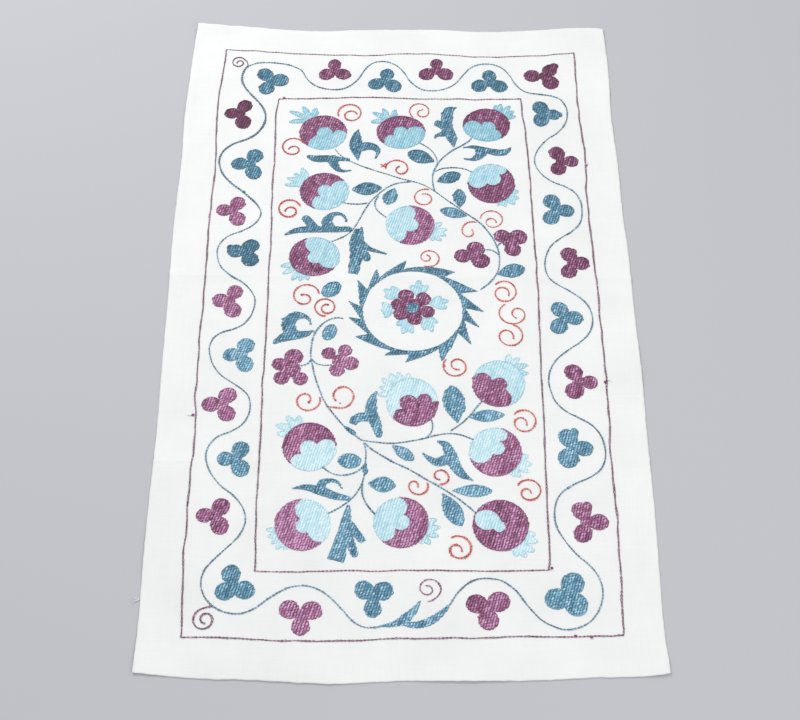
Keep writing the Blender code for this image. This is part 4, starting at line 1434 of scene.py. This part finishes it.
def make_lines():
    b = Build()
    for k, run in enumerate(corner_runs(OUTER_LINE, OUTER_CORNERS)):
        path = uneven_path(smooth(run, 14), 0.45, 900 + k)
        # stronger painted shade at the link heads of this line (bead=1.25)
        chain(b, path, (0.18, 0.36, 0.20, 0.20)[k], 910 + k, link=3.7, width=0.84, thick=0.33, bead=1.25, weight=(1.09, 0.92, 1.12, 0.56)[k])
    for k, (x, y) in enumerate(((-214, -132), (214, -91), (214, 199), (165, -371), (180, -372))):
        knot(b, x, y, 1.5, 0.42, 920 + k)
    hair(b, ((-214, -131, 1.1), (-217, -133, 1.3), (-220, -132, 0.9)), 0.24, 0.5, 925)
    hair(b, ((214, -91, 1.1), (217.5, -89.5, 1.4), (221, -91, 0.9)), 0.24, 0.6, 926)
    hair(b, ((213.5, 199, 1.1), (216, 201, 1.4), (217, 204, 0.9)), 0.24, 0.6, 927)
    b.finish("border_line_outer", [PLUM])
    b = Build()
    for k, run in enumerate(corner_runs(INNER_LINE, INNER_CORNERS)):
        path = uneven_path(smooth(run, 14), 0.35, 930 + k)
        # stronger painted shade at the link heads of this line (bead=1.25)
        chain(b, path, (0.16, 0.34, 0.18, 0.22)[k], 940 + k, link=3.7, width=0.84, thick=0.33, bead=1.25, weight=(1.08, 0.75, 1.11, 0.74)[k])
    knot(b, -137.5, 300, 1.5, 0.4, 950)
    knot(b, 146.5, -301.5, 1.4, 0.36, 951)
    hair(b, ((143, -303.5, 1.0), (145.5, -303, 1.4), (148, -301.5, 1.1)), 0.34, 0.4, 952)
    b.finish("border_line_inner", [PLUM])
    b = Build()
    chain(b, uneven_path(smooth(np.array(WAVE_1, float), 8), 0.15, 960), 0.38, 961, link=3.4, width=0.82, thick=0.35)
    wave_2 = uneven_path(smooth(np.array(WAVE_2, float), 8), 0.15, 962)
    last = len(wave_2) * 4 // 5
    chain(b, wave_2[:400], 0.40, 963, link=3.4, width=0.82, thick=0.35, weight=1.0)
    chain(b, wave_2[399:last], 0.30, 965, link=3.4, width=0.82, thick=0.35, weight=1.36)
    chain(b, wave_2[last - 1:], 0.14, 966, link=3.4, width=0.82, thick=0.35, weight=1.5)
    knot(b, -177.5, 159, 1.7, 0.34, 964)
    b.finish("border_wave", [TEAL])
    b = Build()
    for k, (name, tone, points) in enumerate(STEMS):
        path = uneven_path(smooth(np.array(points, float), 10), 0.22, 970 + k)
        chain(b, path, tone, 1000 + k, link=3.3, width=0.80, thick=0.35, weight=STEM_WEIGHTS.get(name, 0.95))
    b.finish("field_stems", [TEAL])


def make_loose_ends():
    """What hangs from the cut edge: a tuft of white thread and a few fibres."""
    b = Build()
    z = 0.5
    rng = np.random.default_rng(77)
    for k in range(9):
        a = rng.uniform(-2.2, 2.2)
        c = rng.uniform(2.0, 6.5)
        hair(b, ((-250.5, -334 + a * 0.5, z), (-252.5 - c * 0.3, -334.5 + a, z + 0.5), (-253 - c * 0.8, -335 + a * 1.5, z + 0.3),
                 (-254 - c, -337 + a * 1.7, z)), 0.16, 0.5, 1100 + k)
    for k in range(4):
        a = rng.uniform(-1.0, 1.0)
        hair(b, ((-246, 409 + a, 2.6), (-248, 411 + a, 3.0), (-250.5, 412.5 + a * 2, 2.7), (-252, 412 + a * 2, 2.4)), 0.16, 0.5, 1120 + k)
    ob = b.finish("loose_threads", [COTTON])
    return ob


cloth = ground_cloth()
make_pomegranates()
make_trefoils()
make_leaves()
make_hooked()
make_lobed()
make_medallion()
make_spirals()
make_lines()
make_loose_ends()
print("TRIANGLES", sum(COUNTS.values()), "most", max(COUNTS, key=COUNTS.get), max(COUNTS.values()))

# ---------------------------------------------------------------------------
# Floor, light, camera
# ---------------------------------------------------------------------------
mesh = bpy.data.meshes.new("floor")
S = 4.0
mesh.from_pydata([(-S, -S, -0.0002), (S, -S, -0.0002), (S, S, -0.0002), (-S, S, -0.0002)], [], [(0, 1, 2, 3)])
floor = bpy.data.objects.new("floor", mesh)
bpy.context.scene.collection.objects.link(floor)
m, t, nodes, links, surface = nodes_of("floor_grey")
surface.inputs["Base Color"].default_value = srgb(186, 187, 190)
surface.inputs["Roughness"].default_value = 0.9
surface.inputs["Specular IOR Level"].default_value = 0.1
mesh.materials.append(m)

world = bpy.data.worlds.new("studio")
bpy.context.scene.world = world
world.use_nodes = True
world.node_tree.nodes["Background"].inputs["Color"].default_value = (0.95, 0.97, 1.0, 1.0)
world.node_tree.nodes["Background"].inputs["Strength"].default_value = 0.66


def lamp(name, where, aim, size, power, colour=(1, 1, 1)):
    data = bpy.data.lights.new(name, "AREA")
    data.shape = "RECTANGLE"
    data.size, data.size_y = size
    data.energy = power
    data.color = colour
    ob = bpy.data.objects.new(name, data)
    bpy.context.scene.collection.objects.link(ob)
    ob.location = where
    ob.rotation_euler = (Vector(aim) - Vector(where)).to_track_quat("-Z", "Y").to_euler()
    return ob


lamp("key", (-0.95, 1.35, 1.55), (0, 0.05, 0), (0.9, 0.7), 24)
lamp("fill", (1.0, -1.0, 1.6), (0, -0.15, 0), (1.2, 1.2), 13)

PITCH_DOWN, YAW, ROLL = 58.31607, -0.73034, 0.76314
data = bpy.data.cameras.new("camera")
data.sensor_width = 36.0
data.sensor_fit = "HORIZONTAL"
data.lens = 65.5726
data.clip_start, data.clip_end = 0.05, 30.0
camera = bpy.data.objects.new("camera", data)
bpy.context.scene.collection.objects.link(camera)
cp, sp = math.cos(math.radians(PITCH_DOWN)), math.sin(math.radians(PITCH_DOWN))
turned = Matrix.Rotation(math.radians(YAW), 3, "Z")
ahead = turned @ Vector((0, cp, -sp))
right = turned @ Vector((1, 0, 0))
upward = right.cross(ahead)
cr, sr = math.cos(math.radians(ROLL)), math.sin(math.radians(ROLL))
right, upward = cr * right + sr * upward, cr * upward - sr * right
pose = Matrix((right, upward, -ahead)).transposed().to_4x4()
pose.translation = Vector((-0.010981, -0.872189, 1.307989))
camera.matrix_world = pose
bpy.context.scene.camera = camera
bpy.context.scene.view_settings.view_transform = "Standard"
bpy.context.scene.view_settings.look = "None"
bpy.context.scene.view_settings.exposure = 0.0

bpy.context.view_layer.update()
